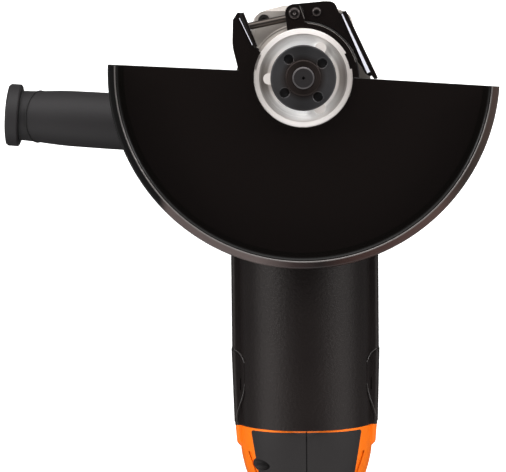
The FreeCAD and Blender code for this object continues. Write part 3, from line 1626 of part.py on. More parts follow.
def handle_outer():
    return fused([handle_body(0), collar_block(0)])


def handle_hollow():
    """Inside of the handle, open to the motor and closed by a thick tail wall."""
    tail = block(-60, 60, handle_tail_y - 1, handle_tail_y + inlet_ring_length,
                 motor_axis_z - 60, motor_axis_z + 60)
    hollow = handle_body(shell_wall).cut(tail)
    mouth = rod_y(collar_half_z - shell_wall, housing_rear_y - 8, housing_rear_y)
    return hollow.fuse(mouth)


def handle_ribs(outer):
    """Ribs across the shells that carry the switch and the speed module."""
    ribs = []
    carried = ((module_rear_y, module_length, module_half_x, module_low_z, module_high_z),
               (switch_rear_y, switch_length, switch_half_x, switch_low_z, switch_high_z))
    for rear, length, half_x, low_z, high_z in carried:
        for share in (0.2, 0.8):
            y = rear + length * share
            slab = block(-60, 60, y - rib_thickness / 2, y + rib_thickness / 2,
                         motor_axis_z - 60, high_z - 3.0)
            pocket = block(-half_x - rib_gap, half_x + rib_gap, y - 5, y + 5,
                           low_z - rib_gap, motor_axis_z + 60)
            ribs.append(slab.cut(pocket).common(outer))
    return ribs


def sleeved(y, z):
    """Whether the skin lines the way in to the handle screw at this place."""
    return z > motor_axis_z and y > trigger_front_y


def handle_screw_tools(lining):
    """Bores and sunk head seats for the handle screws, heads on the left."""
    tools = []
    for y, z in handle_screw_places:
        tools.append(rod_x(handle_screw_radius, -handle_screw_seat, handle_screw_reach, y, z))
        wide = handle_screw_head_radius + 0.4 + (lining if sleeved(y, z) else 0)
        tools.append(rod_x(wide, -70, -handle_screw_seat, y, z))
    return tools


def screw_sleeves():
    """Tubes of the skin that line the ways in to the upper front handle screw."""
    outer = handle_outer()
    tubes = []
    for y, z in handle_screw_places:
        if sleeved(y, z):
            tube = rod_x(handle_screw_head_radius + 0.4 + handle_screw_sleeve, -70,
                         -handle_screw_seat, y, z)
            tubes.append(tube.common(outer))
    return tubes


def handle_shells():
    """Left and right shells: outer form less hollow, with ribs, bosses and openings."""
    outer = handle_outer()
    shell = outer.cut(handle_hollow())
    bosses = []
    for y, z in handle_screw_places:
        boss = rod_x(handle_screw_head_radius + 2.0, -handle_screw_seat - 3,
                     handle_screw_reach + 2, y, z)
        bosses.append(boss.common(outer))
    pin_boss = rod_x(trigger_pin_radius + trigger_pin_boss, -trigger_pin_half - 2,
                     trigger_pin_half + 2, trigger_pin_y, trigger_pin_z)
    bosses.append(pin_boss.common(outer))
    shell = fused([shell] + handle_ribs(outer) + bosses)
    shell = without(shell, *handle_screw_tools(handle_screw_sleeve))
    pin = rod_x(trigger_pin_radius, -trigger_pin_half, trigger_pin_half, trigger_pin_y,
                trigger_pin_z)
    inlet = rod_y(inlet_ring_radius, handle_tail_y - 1, handle_tail_y + inlet_ring_length + 1)
    shell = without(shell, trigger_slot(), pin, lock_on_bore(), inlet, parting_groove())
    shell = without(shell, shell_groove(-1), shell_groove(1))
    return {side: shell.common(handle_half(side)) for side in (-1, 1)}


def parting_groove():
    """Narrow groove along the joint of the two halves, over the top and underneath."""
    slab = block(-parting_groove_half, parting_groove_half, handle_tail_y - 1, housing_rear_y,
                 motor_axis_z - 60, motor_axis_z + 60)
    core = fused([handle_body(parting_groove_depth), collar_block(parting_groove_depth)])
    return slab.cut(core)


def shell_groove(side):
    """Shallow groove down one shell, beside the front of the soft skin."""
    half = handle_groove_width / 2
    spots = [(side * x, housing_rear_y - back) for back, x in handle_groove_spots]
    outline = [(x - half, y, 0) for x, y in spots] + [(x + half, y, 0) for x, y in reversed(spots)]
    column = plate_z(outline, motor_axis_z + 10, motor_axis_z + 60)
    return column.cut(handle_body(handle_groove_depth))


def handle_half(side):
    low, high = sorted((0, side * 80))
    return block(low, high, handle_tail_y - 10, housing_rear_y + 10, motor_axis_z - 80,
                 motor_axis_z + 80)


def skin_region(side):
    """Part of the handle that the soft skin covers, on one side of the parting plane."""
    front = housing_rear_y - 1.4
    neck = housing_rear_y - 40.0
    rear = handle_tail_y + 20.0
    wide = side * (grip_half_x + 12)
    over = plate_z([(0, front, 0), (side * grip_skin_half_x, front, 1.5),
                    (side * (grip_skin_half_x - 6.5), neck, 30), (wide, neck - 45, 30),
                    (wide, rear, 0), (0, rear, 0)], motor_axis_z, motor_axis_z + 60)
    under = plate_z([(0, neck - 20, 0), (side * 12, neck - 22, 8), (wide, neck - 60, 30),
                     (wide, rear, 0), (0, rear, 0)], motor_axis_z - 60, motor_axis_z)
    return over.fuse(under)


def grip_skin(side):
    """Soft skin let into one shell, with the same openings as the shell."""
    outer = handle_outer()
    skin = outer.cut(handle_body(skin_thickness))
    skin = skin.common(skin_region(side))
    skin = without(skin, trigger_slot(), parting_groove())
    if side < 0:
        skin = fused([skin] + screw_sleeves())
    skin = without(skin, *handle_screw_tools(0))
    return skin.cut(lock_on_bore())


def lock_on_bore():
    """Bore for the lock-on button, widened inside for its flange."""
    narrow = rod_x(lock_on_radius + lock_on_gap, -60, 0, lock_on_y, lock_on_z)
    wide = rod_x(lock_on_flange_radius + 0.3, -lock_on_flange_x - 1.3, 0, lock_on_y, lock_on_z)
    return narrow.fuse(wide)


def trigger_slot():
    half = trigger_half_width + trigger_gap
    return block(-half, half, trigger_rear_y - trigger_gap, trigger_front_y + trigger_gap,
                 motor_axis_z + 5, motor_axis_z + 60)


def handle_screws():
    screws = []
    for y, z in handle_screw_places:
        shank = rod_x(handle_screw_radius, -handle_screw_seat, handle_screw_reach, y, z)
        head = rod_x(handle_screw_head_radius, -handle_screw_seat - 2.6, -handle_screw_seat, y, z)
        screws.append(head.fuse(shank).removeSplitter())
    return group(screws)


def cord_inlet_ring():
    """Rubber ring that lines the cord's way into the handle."""
    high = handle_tail_y + inlet_ring_length
    ring = ring_y(inlet_ring_radius, inlet_radius, handle_tail_y, high)
    lip = ring_y(inlet_ring_radius + 2.5, inlet_radius, handle_tail_y - inlet_ring_lip,
                 handle_tail_y)
    return fused([ring, lip])


# ---- trigger, lock-on button and what they work ---------------------------------------------------


def trigger():
    """Long bowed trigger on a pin at its front, with a stop tongue and a lock pocket."""
    base = trigger_base_z
    side = [
        (trigger_front_y, base, 1), (trigger_front_y, base + 9, 2),
        (trigger_front_y - 16, base + 15.5, 14), (trigger_rear_y + 26, base + 17, 30),
        (trigger_rear_y + 4, base + 15, 6), (trigger_rear_y, base + 8, 3),
        (trigger_rear_y, base, 0),
    ]
    body = plate_x(side, -trigger_half_width, trigger_half_width)
    long_edges = [edge for edge in body.Edges
                  if abs(abs(edge.CenterOfMass.x) - trigger_half_width) < 0.01
                  and edge.CenterOfMass.z > base + 10]
    body = body.makeFillet(2.5, long_edges)
    tongue = block(-trigger_half_width + 1, trigger_half_width - 1, trigger_rear_y - 5,
                   trigger_rear_y + 2, base - 0.5, base + 1.6)
    lock_boss = block(-trigger_half_width, trigger_half_width, lock_on_y - 5.5, lock_on_y + 5.5,
                      base - lock_on_boss_depth, base + 1)
    body = fused([body, tongue, lock_boss])
    hollow = block(-trigger_half_width + 2, trigger_half_width - 2, trigger_rear_y + 8,
                   trigger_rear_y + 24, base - 1, base + 6)
    body = body.cut(hollow)
    body = body.cut(rod_x(trigger_pin_radius + 0.05, -20, 20, trigger_pin_y, trigger_pin_z))
    return body.cut(rod_x(lock_on_stem_radius + 1.2, -20, -trigger_half_width + 4, lock_on_y,
                          lock_on_z))


def trigger_pin():
    return rod_x(trigger_pin_radius, -trigger_pin_half, trigger_pin_half, trigger_pin_y,
                 trigger_pin_z)


def trigger_spring():
    return coil_z(3.0, 0.4, switch_high_z, trigger_base_z + 6, 5, 0, trigger_rear_y + 16)


def lock_on_button():
    """Side button whose stem latches the pressed trigger."""
    outer_x = -lock_on_surface_x - lock_on_proud
    cap = rod_x(lock_on_radius, outer_x, -lock_on_flange_x, lock_on_y, lock_on_z)
    cap = cap.makeFillet(0.8, [edge for edge in cap.Edges
                               if abs(edge.CenterOfMass.x - outer_x) < 0.01])
    flange = rod_x(lock_on_flange_radius, -lock_on_flange_x - 1.0, -lock_on_flange_x, lock_on_y,
                   lock_on_z)
    stem = rod_x(lock_on_stem_radius, -lock_on_flange_x, -trigger_half_width - 0.6, lock_on_y,
                 lock_on_z)
    return fused([cap, flange, stem])


def switch_body():
    """Box switch between the ribs, bored for its plunger."""
    box = block(-switch_half_x, switch_half_x, switch_rear_y, switch_rear_y + switch_length,
                switch_low_z, switch_high_z)
    edges = [edge for edge in box.Edges if abs(edge.CenterOfMass.x) > switch_half_x - 0.01
             and abs(edge.CenterOfMass.z - (switch_low_z + switch_high_z) / 2) < 0.01]
    box = box.makeFillet(1.5, edges)
    return box.cut(rod_z(plunger_radius + 0.08, switch_high_z - plunger_depth - 5, switch_high_z,
                         0, plunger_y))


def switch_plunger():
    low = switch_high_z - plunger_depth
    return rod_z(plunger_radius, low, trigger_base_z - 0.2, 0, plunger_y)


def speed_module():
    """Potted soft-start module in the neck of the handle."""
    box = block(-module_half_x, module_half_x, module_rear_y, module_rear_y + module_length,
                module_low_z, module_high_z)
    return box.makeFillet(1.5, [edge for edge in box.Edges
                                if abs(edge.CenterOfMass.z - motor_axis_z) < 12
                                and abs(edge.CenterOfMass.x) > module_half_x - 0.01])


# ---- export ----------------------------------------------------------------------------------------


def spindle_rings():
    return bearing_pair_z(bearing_outer_radius, spindle_shaft_radius, bearing_low_z,
                          bearing_floor_z)


def front_rings():
    return bearing_pair_y(front_bearing_radius, shaft_radius,
                          front_bearing_y - front_bearing_width, front_bearing_y)


def rear_rings():
    return bearing_pair_y(rear_bearing_radius, shaft_journal_radius,
                          rear_bearing_y - rear_bearing_width, rear_bearing_y)


def spindle_needle_bush():
    low = lock_recess_depth + needle_bush_floor
    return ring_z(needle_bush_radius, spindle_tail_radius + 0.03, low,
                  spindle_tail_z + spindle_tail_length)


def dust_ring():
    """Felt ring between the bearing pocket's floor and the spindle collar."""
    inner = spindle_collar_radius + 0.05
    top = bearing_floor_z + 3.0
    return ring_z(inner + 0.95, inner, bearing_floor_z, top)


def all_pieces():
    shells = handle_shells()
    skins = {side: grip_skin(side) for side in (-1, 1)}
    return {
        "gear_case": gear_case(),
        "gear_case_screws": gear_case_screws(),
        "bearing_flange": bearing_flange(),
        "bearing_flange_screws": bearing_flange_screws(),
        "spindle_bearing_outer_ring": spindle_rings()[0],
        "spindle_bearing_inner_ring": spindle_rings()[1],
        "spindle_needle_bush": spindle_needle_bush(),
        "dust_ring": dust_ring(),
        "spindle": spindle(),
        "inner_flange": inner_flange(),
        "clamp_nut": clamp_nut(),
        "crown_gear": crown_gear(),
        "gear_spacer": gear_spacer(),
        "pinion": pinion(),
        "pinion_nut": pinion_nut(),
        "spindle_lock_button": spindle_lock_button(),
        "spindle_lock_pin": spindle_lock_pin(),
        "spindle_lock_spring": spindle_lock_spring(),
        "motor_housing": motor_housing(),
        "side_cover_left": side_cover(-1),
        "side_cover_right": side_cover(1),
        "bearing_plate": bearing_plate(),
        "armature_shaft": armature_shaft(),
        "armature_core": armature_core(),
        "armature_windings": armature_windings(),
        "commutator": commutator(),
        "fan": fan(),
        "air_baffle": air_baffle(),
        "stator_core": stator_core(),
        "field_coils": field_coils(),
        "brush_holders": brush_solids(brush_holder),
        "carbon_brushes": brush_solids(carbon_brush),
        "brush_springs": brush_solids(brush_spring),
        "motor_bearing_outer_rings": group([front_rings()[0], rear_rings()[0]]),
        "motor_bearing_inner_rings": group([front_rings()[1], rear_rings()[1]]),
        "rear_bearing_boot": rear_bearing_boot(),
        "guard_shell": guard_shell(),
        "clamp_band": clamp_band(),
        "lever_rivets": lever_rivets(),
        "clamp_lever": clamp_lever(),
        "tension_rod": tension_rod(),
        "rod_barrel": rod_barrel(),
        "adjusting_nut": adjusting_nut(),
        "side_handle_grip": side_handle_grip(),
        "side_handle_stud": side_handle_stud(),
        "handle_shell_left": shells[-1],
        "handle_shell_right": shells[1],
        "grip_skin_left": skins[-1],
        "grip_skin_right": skins[1],
        "handle_screws": handle_screws(),
        "cord_inlet_ring": cord_inlet_ring(),
        "trigger": trigger(),
        "trigger_pin": trigger_pin(),
        "trigger_spring": trigger_spring(),
        "lock_on_button": lock_on_button(),
        "switch_body": switch_body(),
        "switch_plunger": switch_plunger(),
        "speed_module": speed_module(),
    }


def main():
    os.makedirs("parts", exist_ok=True)
    pieces = all_pieces()
    for side in ("left", "right"):
        shell = "handle_shell_" + side
        pieces[shell] = pieces[shell].cut(pieces["grip_skin_" + side])
    for name, shape in pieces.items():
        shape.exportStep("parts/" + name + ".step")


main()
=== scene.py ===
"""Dresses the angle grinder: finishes on every node, threads and fine pieces, floor and light."""

import json
import math

import bmesh
import bpy
from mathutils import Matrix, Vector


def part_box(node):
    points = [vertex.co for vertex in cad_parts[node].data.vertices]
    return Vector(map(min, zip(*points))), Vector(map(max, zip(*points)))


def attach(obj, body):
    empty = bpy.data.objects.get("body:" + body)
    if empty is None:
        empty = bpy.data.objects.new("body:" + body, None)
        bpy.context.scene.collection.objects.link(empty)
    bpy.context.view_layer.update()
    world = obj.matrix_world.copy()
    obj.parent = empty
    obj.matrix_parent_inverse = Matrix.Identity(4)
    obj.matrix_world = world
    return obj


bl_info = {
    "name": "Angle Grinder",
    "version": (1, 0, 0),
    "blender": (4, 5, 0),
    "location": "View3D > Sidebar > Angle Grinder",
    "description": "Finishes, fine pieces and a plain studio for the angle grinder",
    "category": "Object",
}

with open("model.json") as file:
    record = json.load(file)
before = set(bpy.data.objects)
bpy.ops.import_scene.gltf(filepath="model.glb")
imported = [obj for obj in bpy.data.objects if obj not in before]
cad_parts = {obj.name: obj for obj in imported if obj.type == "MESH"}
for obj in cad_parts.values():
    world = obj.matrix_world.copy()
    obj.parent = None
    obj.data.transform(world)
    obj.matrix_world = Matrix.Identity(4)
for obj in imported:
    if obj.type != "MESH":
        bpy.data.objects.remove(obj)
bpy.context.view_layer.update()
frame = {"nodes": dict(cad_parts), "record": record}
mounts = {mount["name"]: mount for mount in frame["record"]["mounts"]}

MM = 0.001
WHITE = (1.0, 1.0, 1.0, 1.0)


def linear(hex_colour, alpha=1.0):
    """Linear colour from an sRGB hex value."""
    channels = [int(hex_colour[i:i + 2], 16) / 255 for i in (1, 3, 5)]
    curve = [c / 12.92 if c <= 0.04045 else ((c + 0.055) / 1.055) ** 2.4 for c in channels]
    return (*curve, alpha)


# ---- sizes worked out from the frame, in metres ---------------------------------------

THREAD_R = mounts["spindle_thread"]["dims"]["r_mm"] * MM
# the flange's three pads stand a little below the top of its neck
PAD_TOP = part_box("bearing_flange")[1][2] - 0.8 * MM
# the side grip is screwed into the left socket, which mirrors the free right one
socket_x, socket_y, socket_z = mounts["right_handle_socket"]["pos_m"]
outward_x, outward_y, _ = mounts["right_handle_socket"]["axis"]
HANDLE_ROOT = Vector((-socket_x, socket_y, socket_z))
HANDLE_HEADING = math.atan2(outward_y, -outward_x)

# ---- sizes of the fine pieces, in mm ---------------------------------------------------

PLATE_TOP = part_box("clamp_band")[1][2] / MM
# guard: middle of its rim, outer radius, width of the lip, turn about the spindle
GUARD_CENTRE = (0.19, 2.89)
GUARD_R = 124.3
LIP_WIDTH = 4.8
GUARD_TURN = math.radians(-3.8)
# the rim's pieces stop just short of the guard's two cut edges
RIM_START = math.radians(180.8)
RIM_SWEEP = math.radians(178.4)
# rounded inside corner: radius, its centre in from the rim and up from the plate, its foot
COVE_R = 4.0
COVE_IN = 6.3
COVE_UP = 4.3
COVE_FOOT = 8.7
# bead on the lip's inner edge, whose grey metal paints a bright highlight: radius, and its centre
# out from the edge and down
BEAD_R = 0.55
BEAD_OUT = 0.2
BEAD_DOWN = 0.42
# outline of the lip's cover, as (in from the rim, up from the top)
LIP_COVER = ((-0.02, -2.3), (0.1, -1.3), (0.4, -0.5), (0.9, -0.08), (1.5, 0.04),
             (LIP_WIDTH - 0.5, 0.04))
# bars of bright metal that paint highlights on sheet edges: name, body, finish, both ends seen
# from above, end widths, height of the top above the guard's plate, depth
EDGES = (
    ("lever_rail", "lever", "pale_highlight", (25.29, 40.67), (42.12, 2.96), (0.75, 2.1), 0.1, 2.2),
    ("ear_edge", "guard", "pale_highlight", (-40.59, 38.75), (-32.44, 21.40), (0.42, 0.42), 1.5, 0.4),
    ("lug_edge", "guard", "grey_highlight", (-1.85, 46.02), (1.09, 38.00), (0.35, 0.35), 0.1, 0.3),
)
# painted highlight along the collar's edge: radius, thickness, where it starts and how far it runs
COLLAR_R = 35.1
COLLAR_EDGE_R = 0.22
COLLAR_START = math.radians(16)
COLLAR_SWEEP = math.radians(69)
# painted highlights along the side covers' edges: name, width, spots as (distance from the middle,
# place along Y)
COVER_LINES = (
    ("cover_front_line", 0.5, ((47.4, -180.3), (45.2, -181.7), (43.6, -183.2),
                               (42.0, -185.6), (40.7, -188.4))),
    ("cover_tail_line", 0.36, ((40.7, -203.0), (41.4, -207.6), (42.6, -212.2),
                               (44.1, -216.8), (45.7, -221.2), (46.9, -225.8))),
)
# dark rings of painted shade round the side grip: name, reach along it, radius, tube radius, lean
GRIP_LINES = (("grip_flange_line", 139.6, 16.7, 0.55, 0.0),
              ("grip_edge_line", 128.0, 17.3, 0.4, 0.42))
# rivet domes as (share of the radius, height): the flank, then a dimpled or a plain top
DOME = ((1.0, 0.0), (0.99, 0.45), (0.93, 0.85), (0.8, 1.25), (0.62, 1.55), (0.42, 1.72))
DIMPLED = ((0.28, 1.76), (0.2, 1.45), (0.06, 1.25))
DOMED = ((0.2, 1.8), (0.05, 1.82))
# rivet heads: name, node under it, body, how far it sinks in, radius, top
RIVET_HEADS = (("lug_rivet_head", "lever_rivets", "guard", 0.9, 4.0, DIMPLED),
               ("pin_rivet_head", "rod_barrel", "rod", 0.6, 3.25, DOMED))
# threads: how far the middle of the ridge lies under the plain cylinder, and the runs
SPINDLE_RIDGE_SINK = 0.62
SPINDLE_NUT_GAP = 0.3
SPINDLE_TIP_GAP = 1.6
ROD_RIDGE_SINK = 0.16
ROD_THREAD = (8.0, 22.0)

# ---- plain finishes --------------------------------------------------------------------

# metals: name, colour, roughness, nodes
METALS = (
    # turned rings too fine to tell apart: an even grey satin
    ("Steel, Turned", "#686465", 0.3, ("spindle", "inner_flange")),
    # the phosphate coat's fine crystals: brownish grey and dull
    ("Steel, Phosphated", "#4d4743", 0.35, ("tension_rod", "adjusting_nut")),
    # a thin oiled oxide film: dark grey with a soft glint on corners
    ("Steel, Black Oxide", "#4c4947", 0.4, (
        "gear_case_screws", "bearing_flange_screws", "handle_screws", "lever_rivets",
        "rod_barrel")),
    # ground and lapped: pale and bright, the sharpest sheen of the steels
    ("Steel, Ground", "#b9b9bb", 0.25, (
        "crown_gear", "pinion", "pinion_nut", "armature_shaft", "spindle_bearing_outer_ring",
        "spindle_bearing_inner_ring", "motor_bearing_outer_rings",
        "motor_bearing_inner_rings", "spindle_needle_bush", "spindle_lock_pin",
        "spindle_lock_spring", "trigger_spring", "brush_springs", "trigger_pin",
        "side_handle_stud", "gear_spacer")),
    # stacked sheets with cut edges: mid grey and matt
    ("Silicon Steel, Laminated", "#7b7b80", 0.45, ("armature_core", "stator_core")),
    # varnish over copper: reddish brown with a clear sheen
    ("Enamelled Copper Wire", "#b0643a", 0.35, (
        "armature_windings", "field_coils", "commutator")),
    # pressed from bright sheet: yellow and smooth
    ("Brass, Pressed", "#c9a45c", 0.35, ("brush_holders",)),
)
# other stuffs: name, colour, roughness, width of the grain, nodes
STUFFS = (
    # pressed powder: near black, dull, with a faint sparkle
    ("Carbon, Pressed", "#26262a", 0.6, 1.25, ("carbon_brushes",)),
    # smooth mould, soft black: a broad weak sheen
    ("Rubber, Moulded", "#1b1a1a", 0.55, 1.25, ("rear_bearing_boot", "cord_inlet_ring")),
    # matted fibres: grey brown with no sheen at all
    ("Wool Felt, Pressed", "#8d867b", 0.95, 0.667, ("dust_ring",)),
)

# ---- studio light ----------------------------------------------------------------------

# bright cores of the two side boxes: heading, angle from straight up, added radiance
CORES = ((math.radians(157), math.radians(57), 14.0), (math.radians(25), math.radians(58), 12.0))
# a core fades in between these cosines of the angle from its middle
CORE_FADE = (0.988, 0.996)


# ---- sizes and colours that can be changed ----------------------------------------


class GrinderSizes(bpy.types.PropertyGroup):
    """Sizes of the fine pieces that the scene adds."""

    spindle_pitch: bpy.props.FloatProperty(
        name="Spindle Pitch", description="Pitch of the thread on the spindle",
        default=2.0 * MM, min=0.5 * MM, unit="LENGTH")
    rod_pitch: bpy.props.FloatProperty(
        name="Rod Pitch", description="Pitch of the thread on the tension rod",
        default=1.0 * MM, min=0.4 * MM, unit="LENGTH")


class GrinderColours(bpy.types.PropertyGroup):
    """Main colours of the mouldings."""

    orange: bpy.props.FloatVectorProperty(
        name="Handle Colour", description="Self-coloured nylon of the rear handle",
        default=linear("#eb6e0a")[:3], size=3, subtype="COLOR", min=0, max=1)


class StageSettings(bpy.types.PropertyGroup):
    """Camera, floor and light."""

    lens_place: bpy.props.FloatVectorProperty(
        name="Lens Place", description="Where the lens stands",
        default=(-0.005, 0.005, 1.6358), size=3, subtype="TRANSLATION")
    lens_aim: bpy.props.FloatVectorProperty(
        name="Lens Aim", description="Spot that the middle of the view falls on",
        default=(-0.0328, -0.0995, 0.135), size=3, subtype="TRANSLATION")
    lens: bpy.props.FloatProperty(
        name="Focal Length", description="Focal length of the camera",
        default=169.02, subtype="DISTANCE_CAMERA")
    roll: bpy.props.FloatProperty(
        name="Roll", description="Roll of the camera about its view axis",
        default=math.radians(0.62), subtype="ANGLE", unit="ROTATION")
    box_glow: bpy.props.FloatProperty(
        name="Soft Box Glow", description="Radiance of the soft boxes round the tool",
        default=1.9, min=0)
    overhead_glow: bpy.props.FloatProperty(
        name="Overhead Glow", description="Radiance straight above the tool",
        default=0.05, min=0)
    horizon_glow: bpy.props.FloatProperty(
        name="Horizon Glow", description="Radiance at the height of the floor",
        default=0.7, min=0)
    nose_boost: bpy.props.FloatProperty(
        name="Nose Boost", description="How much brighter the light is beyond the nose",
        default=0.4, min=0, max=1, subtype="FACTOR")
    side_glow: bpy.props.FloatProperty(
        name="Side Glow", description="Share of the light that comes from the two sides",
        default=0.74, min=0, max=2, subtype="FACTOR")
    end_boost: bpy.props.FloatProperty(
        name="End Boost", description="Light added beyond the nose and the handle",
        default=1.7, min=0, max=4, subtype="FACTOR")
    left_boost: bpy.props.FloatProperty(
        name="Left Boost", description="How much brighter the light is on the left",
        default=0.1, min=0, max=1, subtype="FACTOR")
    box_reach: bpy.props.FloatProperty(
        name="Box Reach", description="How far the light leans in over the nose and the handle",
        default=0.35, min=0, max=1, subtype="FACTOR")


# ---- small tools --------------------------------------------------------------------


def join(tree, node, **inputs):
    """Fills sockets of a node that is already there, from values or by links."""
    for name, value in inputs.items():
        socket = node.inputs[int(name[1:])] if name[1:].isdigit() else \
            node.inputs[name.replace("_", " ")]
        if isinstance(value, bpy.types.NodeSocket):
            tree.links.new(value, socket)
        else:
            socket.default_value = value
    return node


def add(tree, kind, settings=None, **inputs):
    """Adds a node: settings go on the node, inputs on its sockets, as values or as links.

    The setting "stops" holds a colour ramp's (place, colour) pairs, from 0 to 1.
    """
    made = tree.nodes.new(kind)
    for name, value in (settings or {}).items():
        if name == "stops":
            # a new stop is coloured at once, because each one added sorts the others afresh
            elements = made.color_ramp.elements
            elements[0].color, elements[1].color = value[0][1], value[-1][1]
            for place, colour in value[1:-1]:
                elements.new(place).color = colour
        else:
            setattr(made, name, value)
    return join(tree, made, **inputs)


def tones(*stops):
    """Stops of a colour ramp, from (place, sRGB hex) pairs."""
    return [(place, linear(tone)) for place, tone in stops]


def per(width):
    """Noise scale that makes the grain this many mm wide."""
    return 1 / (width * MM)


def rings_apart(spacing):
    """Wave scale that sets turned rings this many mm apart: a wave is pi / 10 long at 1."""
    return math.pi / 10 / (spacing * MM)


def material(name):
    """Material with its node tree, its Principled shader and the object's coordinates."""
    made = bpy.data.materials.new(name)
    made.use_nodes = True
    tree = made.node_tree
    spot = add(tree, "ShaderNodeTexCoord").outputs["Object"]
    return made, tree, tree.nodes["Principled BSDF"], spot


def paint(made, *nodes):
    """Puts one material on whole nodes of the frame."""
    for name in nodes:
        slots = frame["nodes"][name].material_slots
        if not slots:
            frame["nodes"][name].data.materials.append(made)
        for slot in frame["nodes"][name].material_slots:
            slot.material = made


def finished(name, shape, body, made, smooth=True):
    """Object from a bmesh, riding on its body, with its material."""
    bmesh.ops.remove_doubles(shape, verts=shape.verts, dist=1e-6)
    bmesh.ops.recalc_face_normals(shape, faces=shape.faces)
    mesh = bpy.data.meshes.new(name)
    shape.to_mesh(mesh)
    shape.free()
    if smooth:
        mesh.shade_smooth()
    mesh.materials.append(made)
    piece = bpy.data.objects.new(name, mesh)
    bpy.context.scene.collection.objects.link(piece)
    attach(piece, body)
    return piece


def lathe(stations, sides=64):
    """Turned skin about Z through (radius, height) stations in mm, closed at its last one."""
    shape = bmesh.new()
    rim = bmesh.ops.create_circle(shape, segments=sides, radius=stations[0][0] * MM)["verts"]
    bmesh.ops.translate(shape, verts=rim, vec=(0, 0, stations[0][1] * MM))
    edges = shape.edges[:]
    for (radius, height), (next_radius, next_height) in zip(stations, stations[1:]):
        grown = bmesh.ops.extrude_edge_only(shape, edges=edges)["geom"]
        rim = [item for item in grown if isinstance(item, bmesh.types.BMVert)]
        edges = [item for item in grown if isinstance(item, bmesh.types.BMEdge)
                 and all(end in rim for end in item.verts)]
        share = next_radius / radius
        bmesh.ops.scale(shape, verts=rim, vec=(share, share, 1))
        bmesh.ops.translate(shape, verts=rim, vec=(0, 0, (next_height - height) * MM))
    bmesh.ops.edgeloop_fill(shape, edges=edges)
    return shape


def thread(radius, pitch, low, high, sides=32):
    """Ridge of a screw thread about Z: a small triangle screwed up from low to high, in mm."""
    shape = bmesh.new()
    corners = bmesh.ops.create_circle(shape, segments=3, radius=0.38 * pitch * MM)["verts"]
    bmesh.ops.scale(shape, verts=corners, vec=(1.2, 0.75, 1))
    bmesh.ops.rotate(shape, verts=corners, cent=(0, 0, 0),
                     matrix=Matrix.Rotation(math.radians(-90), 3, "Z"))
    bmesh.ops.rotate(shape, verts=corners, cent=(0, 0, 0),
                     matrix=Matrix.Rotation(math.radians(90), 3, "X"))
    bmesh.ops.translate(shape, verts=corners, vec=(radius * MM, 0, low * MM))
    turns = (high - low) / pitch
    steps = int(turns * sides)
    bmesh.ops.spin(shape, geom=shape.edges[:], cent=(0, 0, 0), axis=(0, 0, 1),
                   dvec=(0, 0, (high - low) * MM / steps), angle=2 * math.pi * turns,
                   steps=steps)
    return shape


def strip(start, end, widths, top, depth):
    """Straight tapered bar between two spots seen from above, in mm, with its top face level."""
    shape = bmesh.new()
    corners = bmesh.ops.create_cube(shape, size=1.0)["verts"]
    way = Vector(end) - Vector(start)
    bmesh.ops.scale(shape, verts=corners, vec=(widths[0] * MM, way.length * MM, depth * MM))
    far = [corner for corner in corners if corner.co.y > 0]
    bmesh.ops.scale(shape, verts=far, vec=(widths[1] / widths[0], 1, 1))
    middle = (Vector(start) + Vector(end)) / 2
    turn = Matrix.Rotation(math.atan2(way.y, way.x) - math.pi / 2, 4, "Z")
    move = Matrix.Translation(Vector((middle.x, middle.y, top - depth / 2)) * MM)
    bmesh.ops.transform(shape, verts=corners, matrix=move @ turn)
    return shape


def bar(start, end, width):
    """Square bar between two points in metres."""
    shape = bmesh.new()
    way = end - start
    corners = bmesh.ops.create_cube(shape, size=1.0)["verts"]
    bmesh.ops.scale(shape, verts=corners, vec=(width, width, way.length + 0.3 * width))
    turn = way.to_track_quat("Z", "Y").to_matrix().to_4x4()
    bmesh.ops.transform(shape, verts=corners,
                        matrix=Matrix.Translation((start + end) / 2) @ turn)
    return shape


def on_surface(x, y):
    """Point on the housing under a spot seen from above, both in mm."""
    looked = bpy.context.evaluated_depsgraph_get()
    hit, place, _, _, _, _ = bpy.context.scene.ray_cast(
        looked, Vector((x, y, 300.0)) * MM, Vector((0, 0, -1)))
    if not hit:
        raise RuntimeError(f"nothing under the cover line at {x}, {y} mm")
    return place


def axis_spot(node):
    """Middle of a node's box seen from above, and the height of its top, in mm."""
    low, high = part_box(node)
    return Vector(((low[0] + high[0]) / 2, (low[1] + high[1]) / 2, high[2])) / MM


# ---- materials ------------------------------------------------------------------------


def moulded_nylon():
    """Glass-filled nylon from a spark-eroded tool: black, fine leathery grain, broad sheen.

    The real grain is a few tenths of a mm wide. It is drawn coarser, so that it shows.
    """
    made, tree, shader, spot = material("Glass-Filled Nylon, Spark-Eroded Mould")
    grain = add(tree, "ShaderNodeTexNoise", None, Vector=spot, Scale=per(1.923), Detail=4.0,
                Roughness=0.6)
    bump = add(tree, "ShaderNodeBump", None, Strength=0.5, Distance=0.0005,
               Height=grain.outputs["Fac"])
    tone = add(tree, "ShaderNodeTexNoise", None, Vector=spot, Scale=per(28.57), Detail=4.0)
    colour = add(tree, "ShaderNodeMix", {"data_type": "RGBA"}, Factor=tone.outputs["Fac"],
                 _6=linear("#130f0f"), _7=linear("#1a1615"))
    join(tree, shader, Base_Color=colour.outputs[2], Roughness=0.31, IOR=1.50,
          Specular_IOR_Level=0.28,
          Specular_Tint=linear("#fff8f5"), Normal=bump.outputs["Normal"])
    return made


def orange_nylon():
    """Self-coloured nylon: saturated orange, same fine grain as the housing, drawn coarser."""
    made, tree, shader, spot = material("Self-Coloured Nylon, Moulded")
    grain = add(tree, "ShaderNodeTexNoise", None, Vector=spot, Scale=per(1.111), Detail=3.0)
    bump = add(tree, "ShaderNodeBump", None, Strength=0.2, Distance=0.0002,
               Height=grain.outputs["Fac"])
    join(tree, shader, Base_Color=(*bpy.context.scene.grinder_colours.orange, 1.0),
          Roughness=0.42, IOR=1.53, Specular_IOR_Level=0.22, Normal=bump.outputs["Normal"])
    return made


